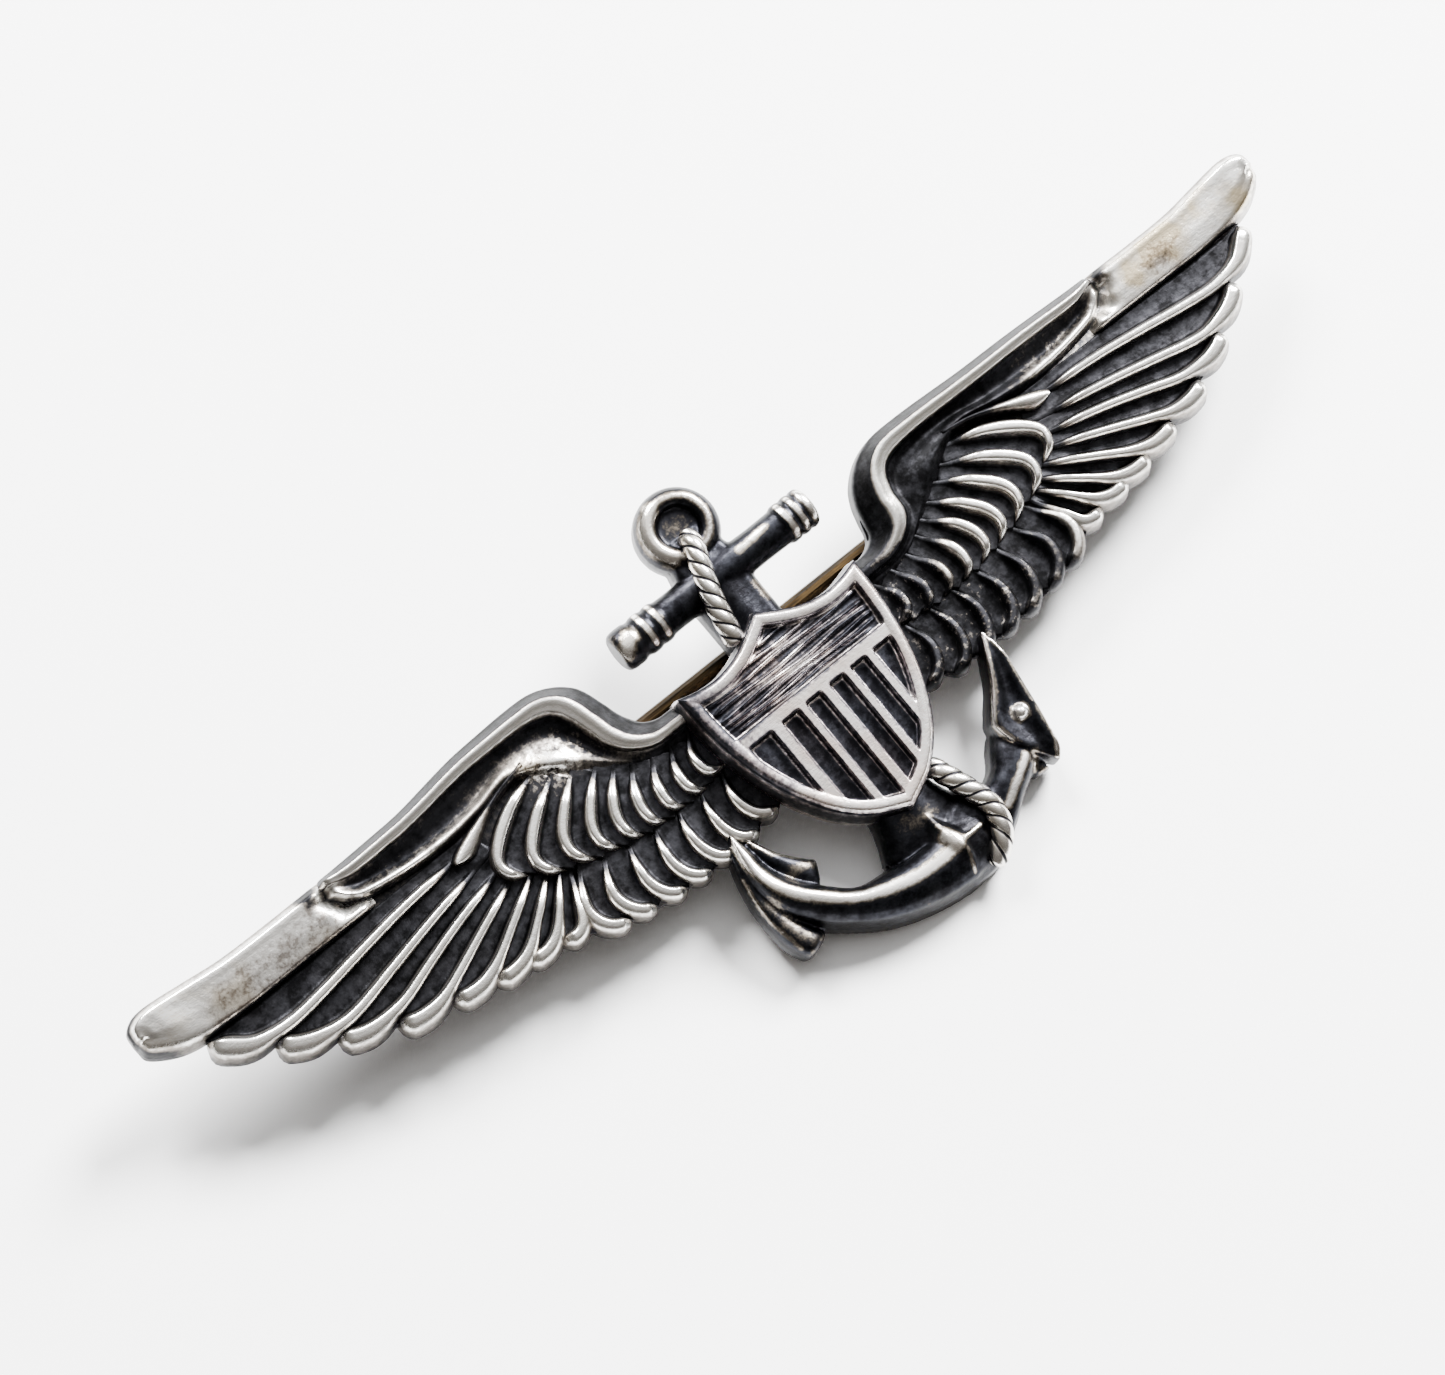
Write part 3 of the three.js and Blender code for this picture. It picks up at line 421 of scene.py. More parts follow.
BASE = [(1.85, 2.3), (4.6, 2.6), (6.6, 2.8), (7.4, 3.6), (7.95, 4.6), (8.3, 5.4), (8.9, 6.2),
        (10, 6.9), (11.3, 7.2), (16, 7.05), (24, 6.75), (30, 6.75), (33.6, 7.0), (34.7, 6.5),
        (34.5, 5.8), (33.2, 4.85), (32.3, 4.25), (31.9, 3.7), (31, 3.0), (30.1, 2.3),
        (29.4, 1.7), (28.4, 1.0), (27.6, .4), (26.4, -.3), (25.0, -.8), (22.6, -1.45),
        (20.5, -1.9), (18.7, -2.2), (16.7, -2.5), (15, -3.3), (13.3, -3.85), (11.4, -4.15),
        (9.3, -4.25), (7.8, -4.25), (6.3, -4.1), (4.7, -3.7), (1.85, -3.2)]


def wing_shells(lean, dull, shoulder):
    """Every shell of one wing, drawn as a right wing. lean shifts the middle of the wing along x
    by that many millimetres, dull takes the polish off the inner feathers, and shoulder moves the
    bend of the arm by that much in x and y."""
    shells = []
    for k, rib in enumerate(PRIMARIES):
        above = UNDER_LEADING if k == 0 else PRIMARIES[k - 1]
        shells.append(feather(rib, above, 1, 1.42 - 0.01 * k, 0.80 - 0.01 * k, 0.27 - 0.008 * k,
                              0.60 - 0.035 * k))
    for row, crest, vane, half, wall in ((TERTIALS, 1.38, 0.84, 0.24, 0.34),
                                         (COVERTS, 1.54, 0.98, 0.29, 0.16)):
        for k, rib in enumerate(row):
            last = [(x - 1.3, y - 0.1) for x, y in rib]
            nxt = row[k + 1] if k + 1 < len(row) else last
            shells.append(feather(rib, nxt, -1, crest, vane, half * (1 - 0.04 * k), wall, root=0.7,
                                  tail=0.5 if wall > 0.3 else 1.3, moon=0.35 if wall > 0.3 else 0.8,
                                  stations=48))
    blade = [line(SPEAR[:, k], 40, even=False) for k in range(3)]
    rubbed = 0.15 + 0.8 * ease(15.2, 17.2, blade[1][:, 0])
    shells.append(shell([(blade[0], 0.3, 0, 1, "flat"), (blade[0], 0.85, 0.05, 4, "rise"),
                         (blade[1], 1.42, rubbed, 4, "fall"), (blade[2], 0.85, 0.25, 1, "flat"),
                         (blade[2], 0.3, 0, 1, "flat")]))
    n = 150
    rail = [line(ARM[:, k], n, even=False) for k in range(6)]
    tall = [line(ARM_HEIGHT[:, [k]], n, even=False)[:, 0] for k in range(5)]
    wear = [line(ARM_WEAR[:, [k]], n, even=False)[:, 0] for k in range(6)]
    quiet = 1 - dull * (1 - ease(15.5, 19.0, rail[1][:, 0]))
    # the arm's outer wall keeps 0.15 of its listed wear: its dark is oxide and partly a painted dark
    # reflection
    wear = [w * (1 if k == 1 else quiet**1.6) * (0.15 if k == 0 else 1) for k, w in enumerate(wear)]
    wall = rail[0] * 0.30 + rail[1] * 0.70
    shells.append(shell([
        (rail[0], 0.05, wear[0] * 0.7, 3, "rise"),
        (rail[0] * 0.8 + rail[1] * 0.2, tall[0] * 0.60, wear[0], 3, "flat"),
        (wall, tall[0] * 0.93, wear[0] + 0.05, 4, "rise"), (rail[1], tall[0], wear[1], 2, "flat"),
        (rail[1] * 0.55 + rail[2] * 0.45, tall[0] * 0.84 + tall[1] * 0.16, wear[1] * 0.9, 4, "fall"),
        (rail[1] * 0.15 + rail[2] * 0.85, tall[0] * 0.45 + tall[1] * 0.55, wear[1] * 0.3, 3, "soft"),
        (rail[2], tall[1], wear[2], 4, "soft"), (rail[3], tall[2], wear[3], 6, "soft"),
        (rail[4], tall[3], wear[4], 6, "soft"), (rail[5], tall[4], wear[5], 1, "flat"),
        (rail[5], 0.05, 0.0, 1, "flat")]))
    n = 110
    rail = [line(LEADING[:, k], n, even=False) for k in range(6)]
    tip = np.linspace(0, 1, n)
    bulb = 0.14 * ease(0.45, 0.72, tip) - 0.08 * ease(0.84, 1.0, tip)
    # under the spoon's end the feather sinks, each rail from its own x on
    z = np.stack([(h + bulb) * (0.42 + 0.58 * ease(x0, x0 + 0.9, r[:, 0]))
                  for h, x0, r in zip(LEADING_HEIGHT, (23.8, 24.1, 23.7, 22.4), rail[1:5])])
    end = ease(0.5, 0.62, tip)
    shells.append(shell([
        (rail[0], 0.05, 0.32, 3, "rise"), (rail[0] * 0.75 + rail[1] * 0.25, z[0] * 0.68, 0.45, 3, "flat"),
        (rail[0] * 0.35 + rail[1] * 0.65, z[0] * 0.95, 0.7, 3, "rise"), (rail[1], z[0], 1.0, 4, "soft"),
        (rail[2], z[1], 0.80, 5, "flat"), (rail[3], z[2], 0.72 + 0.22 * end, 6, "flat"),
        (rail[4], z[3], 0.78 + 0.2 * end, 3, "fall"),
        (rail[4] * 0.3 + rail[5] * 0.7, z[3] * 0.72, 0.15 + 0.38 * end, 3, "flat"),
        (rail[5], 0.05, 0.05 + 0.4 * end, 1, "flat")]))
    b = np.array(BASE)
    b = line(np.vstack([b, b[:1]]), 240)[:-1]
    slab = np.stack([np.column_stack([b, 0 * b[:, 0]]), np.column_stack([b, 0.64 + 0 * b[:, 0]])])
    shells.append((slab, np.full(slab.shape[:2], 0.25)))
    done = []
    for grid, worn in shells:
        grid = grid.copy()
        x, y = grid[..., 0], grid[..., 1]
        low = np.maximum(1 - ease(7.0, 12.0, x), (1 - ease(13.5, 16.5, x)) * (1 - ease(-1.6, -0.6, y)))
        worn = worn * (1 - dull * low * (1 - ease(1.5, 1.75, grid[..., 2])))
        bend = ease(2.8, 4.6, y) * (1 - ease(10.5, 14.0, x))
        crest = ease(4.9, 6.3, y) * (1 - ease(15.0, 20.0, x))
        arch = np.sin(np.pi * np.clip((x - 4.5) / 30.5, 0, 1)) ** 1.2
        grid[..., 0] = x + lean * arch + shoulder[0] * bend
        grid[..., 1] = y + shoulder[1] * crest
        done.append((grid, worn))
    return done


for name, hand, lean, dull, shoulder in (("wing_right", 1, 0.30, 0.75, (-0.40, -0.08)),
                                         ("wing_left", -1, -0.30, 0.0, (0.0, 0.40))):
    points, faces, wear = join_shells(wing_shells(lean, dull, shoulder))
    x, y, z = points.T
    # where polish, flecks and stain lie: the leading feather's blade, the arm's muscle and spoon,
    # the inner feathers, a dimple, the notch by the spoon's end, a tarnished band, and the tip's painted
    # dark reflection
    blade = ease(23.6, 24.6, x) * ease(3.9, 4.4, y) * ease(1.2, 1.36, z)
    muscle = np.exp(-((x - 12.0) / 1.7) ** 2 - ((y - 4.4) / 1.0) ** 2)
    spoon = np.exp(-((x - 21.0) / 2.6) ** 2 - ((y - 5.2) / 0.6) ** 2)
    inner = (1 - ease(9.5, 14.5, x)) * np.maximum(1 - ease(-1.4, -0.8, y), 1 - ease(7.5, 9.5, x))
    fleck = 0.10 * blade + 1.2 * np.where(hand < 0, muscle, 0) + 0.5 * spoon
    fleck = fleck + np.where(hand > 0, 0.60 * inner * (1 - ease(2.0, 2.6, y)), 0)
    dimple = blade * np.exp(-((x - 28.0) / 1.4) ** 2 - ((y - 5.4) / 0.75) ** 2)
    notch = np.exp(-((x - 24.75) / 0.5) ** 2) * ease(5.7, 6.4, y) * ease(0.9, 1.1, z)
    tarnish = blade * (1 - ease(30.3, 32.6, x)) * (1 - ease(5.8, 6.3, y))
    # tip: the lower walls at the leading feather's end, where the left wing's wear is lowered to paint a
    # dark reflection
    tip = ease(33.0, 34.4, x) * (1 - ease(0.9, 1.4, z))
    wear = wear + np.where(hand < 0, 0.34 * muscle - 0.19 * tarnish - 0.4 * tip,
                           0.1 * spoon - 0.34 * dimple)
    wear = np.clip(wear - 0.7 * notch, 0, 1)
    fleck = fleck + np.where(hand > 0, 0.12 * dimple, 0.04 * tarnish)
    gilt = np.clip(0.10 + np.where(hand < 0, 0.35 * blade + muscle, 0.75 * blade), 0, 1)
    silver_piece(name + "_struck", points * [hand, 1, 1], faces, wear, wing_silver,
                 [name], fleck, gilt)


# ---- The anchor ------------------------------------------------------------------------------
# One heavy sterling casting: ring, banded stock, shank, crown and two unlike flukes. It is left
# dark from the oxidising bath, and only its ridges have worn bright.
def fuse(shells, voxel, rounds):
    """Fuses overlapping closed shells into one skin by voxels, then evens the skin out: in each
    round every point moves half way to the mean of its neighbours."""
    points, faces, _ = join_shells(shells)
    rough = bpy.data.meshes.new("rough")
    rough.from_pydata(points.tolist(), [], faces)
    solid = bmesh.new()
    solid.from_mesh(rough)
    bmesh.ops.triangulate(solid, faces=[f for f in solid.faces if len(f.verts) > 4])
    bmesh.ops.recalc_face_normals(solid, faces=solid.faces)
    solid.to_mesh(rough)
    solid.free()
    lump = bpy.data.objects.new("lump", rough)
    bpy.context.scene.collection.objects.link(lump)
    skin = lump.modifiers.new("skin", "REMESH")
    skin.mode, skin.voxel_size = "VOXEL", voxel
    made = bpy.data.meshes.new_from_object(lump.evaluated_get(bpy.context.evaluated_depsgraph_get()))
    bpy.data.objects.remove(lump)
    p = np.empty(len(made.vertices) * 3)
    made.vertices.foreach_get("co", p)
    p = p.reshape(-1, 3)
    e = np.empty(len(made.edges) * 2, int)
    made.edges.foreach_get("vertices", e)
    e = e.reshape(-1, 2)
    faces = [list(f.vertices) for f in made.polygons]
    bpy.data.meshes.remove(made)
    return smoothed(p, e, rounds), faces


def smoothed(p, e, rounds):
    """Each round moves every point half way to the mean of its neighbours along the edges."""
    n = len(p)
    share = np.maximum(np.bincount(e.ravel(), minlength=n), 1)[:, None]
    for _ in range(rounds):
        near = np.stack([np.bincount(e[:, 0], p[e[:, 1], k], n) + np.bincount(e[:, 1], p[e[:, 0], k], n)
                         for k in range(3)], 1) / share
        p = 0.5 * (p + near)
    return p


def standing(p, faces, rounds):
    """How far each point stands proud of its surroundings, in millimetres: its distance, along
    its normal, from where many rounds of smoothing take it. Also gives the normals."""
    mesh = bpy.data.meshes.new("probe")
    mesh.from_pydata(p.tolist(), [], faces)
    normal = np.empty(len(p) * 3)
    mesh.vertices.foreach_get("normal", normal)
    e = np.empty(len(mesh.edges) * 2, int)
    mesh.edges.foreach_get("vertices", e)
    bpy.data.meshes.remove(mesh)
    normal = normal.reshape(-1, 3)
    return np.einsum("ij,ij->i", p - smoothed(p, e.reshape(-1, 2), rounds), normal), normal


def turned(profile, centre, around):
    """A lathed solid: profile (along, radius) turned about a line through centre, along x or z."""
    a = np.linspace(0, 2 * np.pi, 72, endpoint=False)
    along, radius = np.array(profile, float).T
    ring = np.stack([np.cos(a), np.sin(a)], 1)
    grid = np.zeros((len(along), len(a), 3))
    if around == "x":
        grid[..., 0] = along[:, None]
        grid[..., 1:] = radius[:, None, None] * ring
    else:
        grid[..., 2] = along[:, None]
        grid[..., :2] = radius[:, None, None] * ring
    return grid + np.array(centre), np.zeros(grid.shape[:2])


def cast_bar(rows, heights, strips=("rise", "fall"), count=60, wall=0.5):
    """A cast bar on rails given station by station: outline, ridges, outline. Its sides rise
    straight to the wall's share of the first ridge's height, and the strips run on from there."""
    rows = np.array(rows, float)
    rail = [line(rows[:, k], count, even=False) for k in range(rows.shape[1])]
    z = [line(np.array(h)[:, None], count, even=False)[:, 0] for h in heights]
    near, far = rail[0] * 0.93 + rail[1] * 0.07, rail[-1] * 0.93 + rail[-2] * 0.07
    rails = [(rail[0], 0.0, 0, 2, "flat"), (near, wall * z[0], 0, 5, strips[0])]
    rails += [(r, h, 0, 6, strip) for r, h, strip in zip(rail[1:-1], z, strips[1:])]
    rails += [(far, wall * z[-1], 0, 2, "flat"), (rail[-1], 0.0, 0, 1, "flat")]
    return shell(rails)


anchor_shells = [
    # ring with its hollow, and the bored eye's floor
    turned([(0.0, 0.0), (0.0, 2.12), (0.6, 2.16), (1.2, 2.14), (1.6, 2.02), (1.88, 1.82), (2.02, 1.55),
            (2.0, 1.32), (1.88, 1.14), (1.65, 1.05), (1.45, 1.02), (1.42, 0.0)], (0.12, 9.45, 0), "z"),
    # stock: cap, two bands, plain middle, two bands, cap
    turned([(-6.08, 0.0), (-6.08, 0.82), (-5.95, 1.0), (-5.7, 1.07), (-5.05, 1.07), (-4.93, 0.98),
            (-4.68, 0.98), (-4.58, 1.07), (-4.1, 1.07), (-3.98, 0.98), (-3.86, 0.98), (-3.76, 1.05),
            (-3.36, 1.05), (-3.22, 0.95), (-2.6, 0.93), (0, 1.0), (2.6, 0.93), (4.12, 0.95),
            (4.24, 1.07), (4.66, 1.07), (4.74, 0.98), (4.84, 0.98), (4.92, 1.08), (5.22, 1.08),
            (5.3, 0.99), (5.4, 0.99), (5.48, 1.08), (5.78, 1.05), (5.93, 0.85), (5.93, 0.0)],
           (0, 6.5, 1.12), "x"),
    # shank, neck and flare to the crown
    cast_bar([[(-1.5, 9.0), (-.9, 9.0), (0, 9.0), (.9, 9.0), (1.5, 9.0)],
              [(-1.55, 8.2), (-1, 8.2), (0, 8.2), (1, 8.2), (1.55, 8.2)],
              [(-1.75, 7.3), (-1.1, 7.3), (0, 7.3), (1.1, 7.3), (1.75, 7.3)],
              [(-1.75, 6.5), (-1, 6.5), (0, 6.5), (1, 6.5), (1.75, 6.5)],
              [(-1.7, 4), (-1, 4), (0, 4), (1, 4), (1.7, 4)],
              [(-1.7, -2), (-1, -2), (0, -2), (1, -2), (1.7, -2)],
              [(-1.75, -6.6), (-1, -6.6), (0.1, -6.6), (1, -6.6), (1.8, -6.6)],
              [(-2.0, -8.0), (-1, -8.4), (.3, -8.6), (1.4, -8.4), (2.1, -8.0)],
              [(-2.6, -9.3), (-1.2, -9.8), (.5, -10.2), (1.8, -9.9), (2.9, -9.4)]],
             ([1.5, 1.65, 1.8, 1.85, 1.72, 1.72, 1.72, 1.62, 1.45],
              [1.7, 1.8, 1.95, 2.0, 1.88, 1.86, 1.86, 1.8, 1.7],
              [1.5, 1.65, 1.8, 1.85, 1.72, 1.72, 1.72, 1.62, 1.45]), ("rise", "soft", "soft", "fall")),
    # left arm, from the fluke's tip round to the crown
    cast_bar([[(-7.55, -3.45), (-7.5, -3.5), (-7.4, -3.45)], [(-8.05, -4.6), (-7.65, -4.7), (-7.1, -4.6)],
              [(-8.35, -6.2), (-7.75, -6.1), (-6.85, -5.9)], [(-8.15, -7.9), (-7.2, -7.3), (-6.25, -7.1)],
              [(-7.2, -9.4), (-6.2, -8.5), (-5.5, -8.0)], [(-5.9, -10.6), (-5.0, -9.55), (-4.3, -9.1)],
              [(-4.2, -11.75), (-3.5, -10.3), (-2.9, -9.4)], [(-2.2, -12.5), (-1.6, -10.85), (-1.2, -9.5)],
              [(.2, -12.9), (.6, -10.95), (.9, -9.4)], [(1.9, -12.6), (2.1, -10.8), (2.3, -9.4)]],
             ([1.5, 1.85, 2.1, 2.25, 2.35, 2.35, 2.35, 2.35, 2.3, 1.9],), ("rise", "fall"), 90, 0.35),
    # right arm
    cast_bar([[(.2, -12.9), (.6, -10.95), (.9, -9.0)], [(2.0, -12.75), (2.1, -10.7), (2.3, -8.3)],
              [(3.7, -11.8), (3.7, -10.7), (3.2, -9.2)], [(4.9, -10.95), (4.8, -10.2), (4.2, -8.95)],
              [(6.1, -10.25), (5.9, -9.6), (4.9, -8.1)], [(6.9, -9.2), (6.4, -8.9), (5.4, -7.6)]],
             ([2.05, 1.8, 1.85, 1.95, 1.9, 1.75],), ("rise", "fall")),
    # crown: the star's upright ridge, then its level one
    cast_bar([[(-.2, -8.4), (.3, -8.4), (.8, -8.4)], [(-.5, -9.4), (.4, -9.4), (1.1, -9.4)],
              [(-1.0, -10.5), (.6, -10.6), (1.9, -10.4)], [(-.5, -11.6), (.7, -11.6), (1.4, -11.4)],
              [(.1, -12.5), (.4, -12.5), (.8, -12.4)]],
             ([1.75, 2.1, 2.5, 2.25, 1.6],), ("soft", "soft"), wall=0.7),
    cast_bar([[(-.6, -10.3), (-.5, -10.75), (-.4, -11.3)], [(.5, -9.9), (.6, -10.6), (.8, -11.5)],
              [(1.4, -10.3), (1.5, -10.65), (1.6, -11.1)], [(2.5, -10.55), (2.5, -10.65), (2.5, -10.75)]],
             ([2.2, 2.42, 2.2, 1.8],), ("soft", "soft"), wall=0.75),
    # left inner barb
    cast_bar([[(-7.3, -4.2), (-7.0, -4.3), (-6.75, -4.3)], [(-7.2, -5.4), (-6.6, -5.5), (-6.05, -5.6)],
              [(-7.0, -6.6), (-6.1, -6.6), (-5.1, -6.7)], [(-6.6, -7.4), (-5.8, -7.3), (-4.85, -6.95)],
              [(-6.0, -8.2), (-5.6, -7.9), (-5.3, -7.8)]],
             ([1.3, 1.35, 1.4, 1.35, 1.2],), ("rise", "fall")),
    # left outer barb, a thick plate ending in a squared-off lower end
    cast_bar([[(-8.0, -3.9), (-7.9, -3.95), (-7.7, -4.0)], [(-8.5, -5.3), (-8.2, -5.3), (-7.8, -5.3)],
              [(-8.82, -6.8), (-8.4, -6.8), (-7.8, -6.9)], [(-8.88, -8.2), (-8.3, -8.2), (-7.4, -8.3)],
              [(-8.8, -9.3), (-8.1, -9.3), (-7.0, -9.3)], [(-8.4, -10.25), (-7.8, -10.1), (-6.75, -9.85)],
              [(-8.05, -10.42), (-7.7, -10.35), (-7.0, -10.1)]],
             ([1.35, 1.5, 1.6, 1.62, 1.6, 1.5, 1.2],), ("rise", "fall")),
    # right palm, a flat plate with a raised edge
    cast_bar([[(8.2, -3.5), (8.25, -3.55), (8.3, -3.6), (8.33, -3.65), (8.35, -3.7)],
              [(7.5, -4.7), (7.7, -4.75), (8.05, -4.8), (8.4, -4.85), (8.58, -4.9)],
              [(6.9, -5.7), (7.15, -5.75), (7.7, -5.9), (8.2, -6.1), (8.42, -6.2)],
              [(6.1, -6.6), (6.45, -6.7), (7.3, -6.9), (8.0, -7.2), (8.25, -7.3)],
              [(5.55, -7.4), (5.95, -7.5), (7.0, -7.7), (7.85, -8.2), (8.1, -8.3)],
              [(5.7, -8.3), (6.0, -8.4), (6.9, -8.7), (7.65, -9.3), (7.9, -9.4)],
              [(6.1, -9.25), (6.35, -9.25), (6.9, -9.4), (7.5, -10.1), (7.7, -10.2)],
              [(6.9, -10.3), (6.98, -10.3), (7.05, -10.4), (7.2, -10.6), (7.25, -10.75)]],
             ([1.9, 2.0, 2.05, 2.08, 2.08, 2.05, 1.95, 1.7], [1.85, 1.86, 1.82, 1.78, 1.78, 1.82, 1.85, 1.7],
              [1.9, 2.0, 2.05, 2.08, 2.08, 2.05, 1.95, 1.7]), ("rise", "soft", "soft", "fall")),
    # right under-barb
    cast_bar([[(6.3, -9.2), (6.5, -9.3), (6.9, -9.5)], [(5.85, -9.9), (6.2, -10.0), (6.8, -10.2)],
              [(5.95, -10.6), (6.3, -10.6), (6.9, -10.7)]], ([1.3, 1.3, 1.1],), ("rise", "fall")),
    # pellet on the palm
    turned([(1.5, 0), (1.5, .42), (1.85, .4), (2.05, .3), (2.17, .16), (2.2, 0)], (7.15, -7.75, 0), "z")]
points, faces = fuse(anchor_shells, 0.08, 4)


def rubbed_along(xy, lines):
    """Wear left by years of rubbing along lines: each fades as a bell curve of its own width."""
    wear = np.zeros(len(xy))
    for width, deepest, path in lines:
        dense = line(path, 60)
        near = np.concatenate([np.linalg.norm(part[:, None] - dense[None], axis=2).min(1)
                               for part in np.array_split(xy, 24)])
        wear = np.maximum(wear, deepest * np.exp(-(near / width) ** 2))
    return wear


# each rub: its width in millimetres, how bright it has worn and its line on the badge
ring_turn = np.linspace(0, 2 * np.pi, 25)
RUBS = [(.26, .62, np.column_stack([.12 + 1.52 * np.cos(ring_turn), 9.45 + 1.52 * np.sin(ring_turn)])),
        (.42, 1.0, [(-.5, 10.9), (-1.2, 10.3), (-1.45, 9.4), (-1.1, 8.4)]),
        (.9, .30, [(-.1, 9.6), (.3, 9.4)]),
        (.32, 1.0, [(-7.5, -3.9), (-7.72, -5.3), (-7.4, -6.9), (-6.6, -8.1), (-5.2, -9.35),
                    (-3.5, -10.2), (-1.5, -10.7), (.4, -10.7)]),
        (.40, 1.0, [(.35, -10.05), (.6, -10.6)]), (.12, .6, [(.35, -9.4), (.5, -10.0)]),
        (.12, .75, [(.7, -10.7), (2.1, -10.65)]), (.13, .55, [(.75, -11.1), (.4, -12.2)]),
        (.8, .30, [(-.6, -8.4), (.5, -8.7)]), (.26, .85, [(3.8, -10.75), (4.8, -10.2), (6.0, -9.5)]),
        (.26, .62, [(1.6, 6.75), (3.3, 6.85)]), (.5, .72, [(-5.8, 6.2), (-5.2, 6.7)]),
        (.15, .95, [(-4.32, 5.7), (-4.36, 7.4)]), (.15, .9, [(-3.56, 5.7), (-3.6, 7.4)]),
        (.17, .95, [(4.45, 5.6), (4.42, 7.3)]), (.15, .95, [(5.07, 5.6), (5.04, 7.3)]),
        (.26, .85, [(5.7, 5.8), (5.66, 7.2)]), (.4, .42, [(1.3, 5.0), (1.45, 4.2)]),
        (.45, .36, [(-5.2, -6.95), (-6.4, -6.7)]), (.16, .6, [(-4.95, -6.8), (-6.0, -5.9), (-6.9, -4.6)]),
        (.6, .36, [(-8.2, -7.2), (-7.7, -9.9)]), (.13, .5, [(-8.4, -5.6), (-8.65, -7.6), (-8.3, -9.8)]),
        (.15, .85, [(8.15, -3.8), (7.25, -5.4), (6.2, -6.8), (5.75, -7.5), (5.95, -8.5)]),
        (.14, .7, [(8.35, -4.0), (8.45, -5.6), (8.05, -8), (7.65, -9.6), (7.15, -10.5)]),
        (.44, 1.0, [(7.1, -7.75), (7.2, -7.75)]), (.3, .5, [(6.1, -10.2), (6.5, -9.6)])]
proud, normal = standing(points, faces, 22)
wear = np.maximum(rubbed_along(points[:, :2], RUBS), 0.5 * np.clip(proud / 0.07, 0, 1))
wear = wear * ease(-0.1, 0.45, normal[:, 2])
oxidised_silver = rubbed_silver("oxidised_cast_sterling", oxide="141417", haze="2c2d32",
                                half_rubbed="7d766d", bright="f8f5f0", gold="d9c8a6", spots=0.34, matt=0.34)
silver_piece("anchor_cast", points, faces, wear, oxidised_silver, ["anchor"], 0.10, 0.25)


# ---- The rope --------------------------------------------------------------------------------
# Three-strand twisted silver wire, laid once across the shank and soldered down: one run from the
# ring to the shield's top, one from the shield's point to the crown.
def laid_rope(path, radius, lead, stations):
    """Three round strands twisted together: at each station the radius rises over three lobes,
    which turn once round in each lead of length."""
    p = line(path, stations)
    run = np.concatenate([[0], np.cumsum(np.linalg.norm(np.diff(p, axis=0), axis=1))])
    along = np.gradient(p, axis=0)
    along /= np.linalg.norm(along, axis=1)[:, None]
    across = np.cross(along, [0, 0, 1.0])
    across /= np.linalg.norm(across, axis=1)[:, None]
    up = np.cross(across, along)
    a = np.linspace(0, 2 * np.pi, 48, endpoint=False)
    lobe = np.abs(np.sin(1.5 * (a[None] - 2 * np.pi * run[:, None] / lead))) ** 0.45
    r = radius * (0.80 + 0.20 * lobe)
    left = np.clip(np.minimum(run, run[-1] - run) / (0.6 * radius), 0.0, 1)
    r = r * (0.15 + 0.85 * np.sqrt(1 - (1 - left) ** 2))[:, None]
    sideways = (r * np.cos(a))[..., None] * across[:, None]
    upward = (r * np.sin(a))[..., None] * up[:, None]
    grid = p[:, None] + sideways + upward
    return grid, ease(0.45, 0.8, lobe) * ease(-0.3, 0.5, np.sin(a))


rope_silver = rubbed_silver("twisted_silver_wire", oxide="17171a", haze="3a3a3e",
                            half_rubbed="958e84", bright="eeebe5", gold="dccfb0", spots=0.12)
ROPES = {"rope_upper": [(.2, 9.0, 1.5), (0, 8.2, 2.05), (-.4, 7.2, 2.2), (-.95, 5.6, 2.2),
                        (-1.25, 4.2, 2.1), (-1.4, 3.2, 1.9)],
         "rope_lower": [(2.0, -6.8, 1.5), (2.25, -7.6, 1.85), (2.7, -8.9, 2.0), (3.05, -10.2, 2.0),
                        (2.85, -11.3, 1.85), (2.2, -12.1, 1.55), (1.5, -12.5, 1.1)]}
for name, path in ROPES.items():
    points, faces, wear = join_shells([laid_rope(path, 0.56, 2.3, 240)])
    silver_piece(name + "_twisted", points, faces, wear, rope_silver, [name], 0.05, 0.4)


# ---- The shield ------------------------------------------------------------------------------
# A separate struck sterling shield, soldered over the shank: a wide rim, a chief cut with lines
# and six sunk stripes. Its rim is worn pale and the sunk fields keep their black.
SIDE = line([(5.48, 2.87), (5.42, 1.0), (5.2, -.8), (4.75, -2.6), (4.05, -4.3), (3.05, -5.9), (1.75, -7.1),
             (0, -7.95)], 200)
TOP = line([(0, 3.9), (.9, 3.35), (1.9, 2.85), (2.8, 2.6), (3.6, 2.52), (4.5, 2.62), (5.48, 2.87)], 120)


def soft_in(low, high, x, edge=0.07):
    """1 between low and high, 0 outside, over soft edges that wide."""
    return ease(low - edge, low + edge, x) * (1 - ease(high - edge, high + edge, x))


def shield_face(across, down):
    """Across runs -1 to 1 and down runs 0 to 1: x spreads to the side at that height, y runs from
    the top edge to the point."""
    x = across * 5.48
    top = np.interp(np.abs(x), TOP[:, 0], TOP[:, 1])
    y = top + down * (-7.95 - top)
    half = np.interp(-y, -SIDE[:, 1], SIDE[:, 0])
    return across * half, y


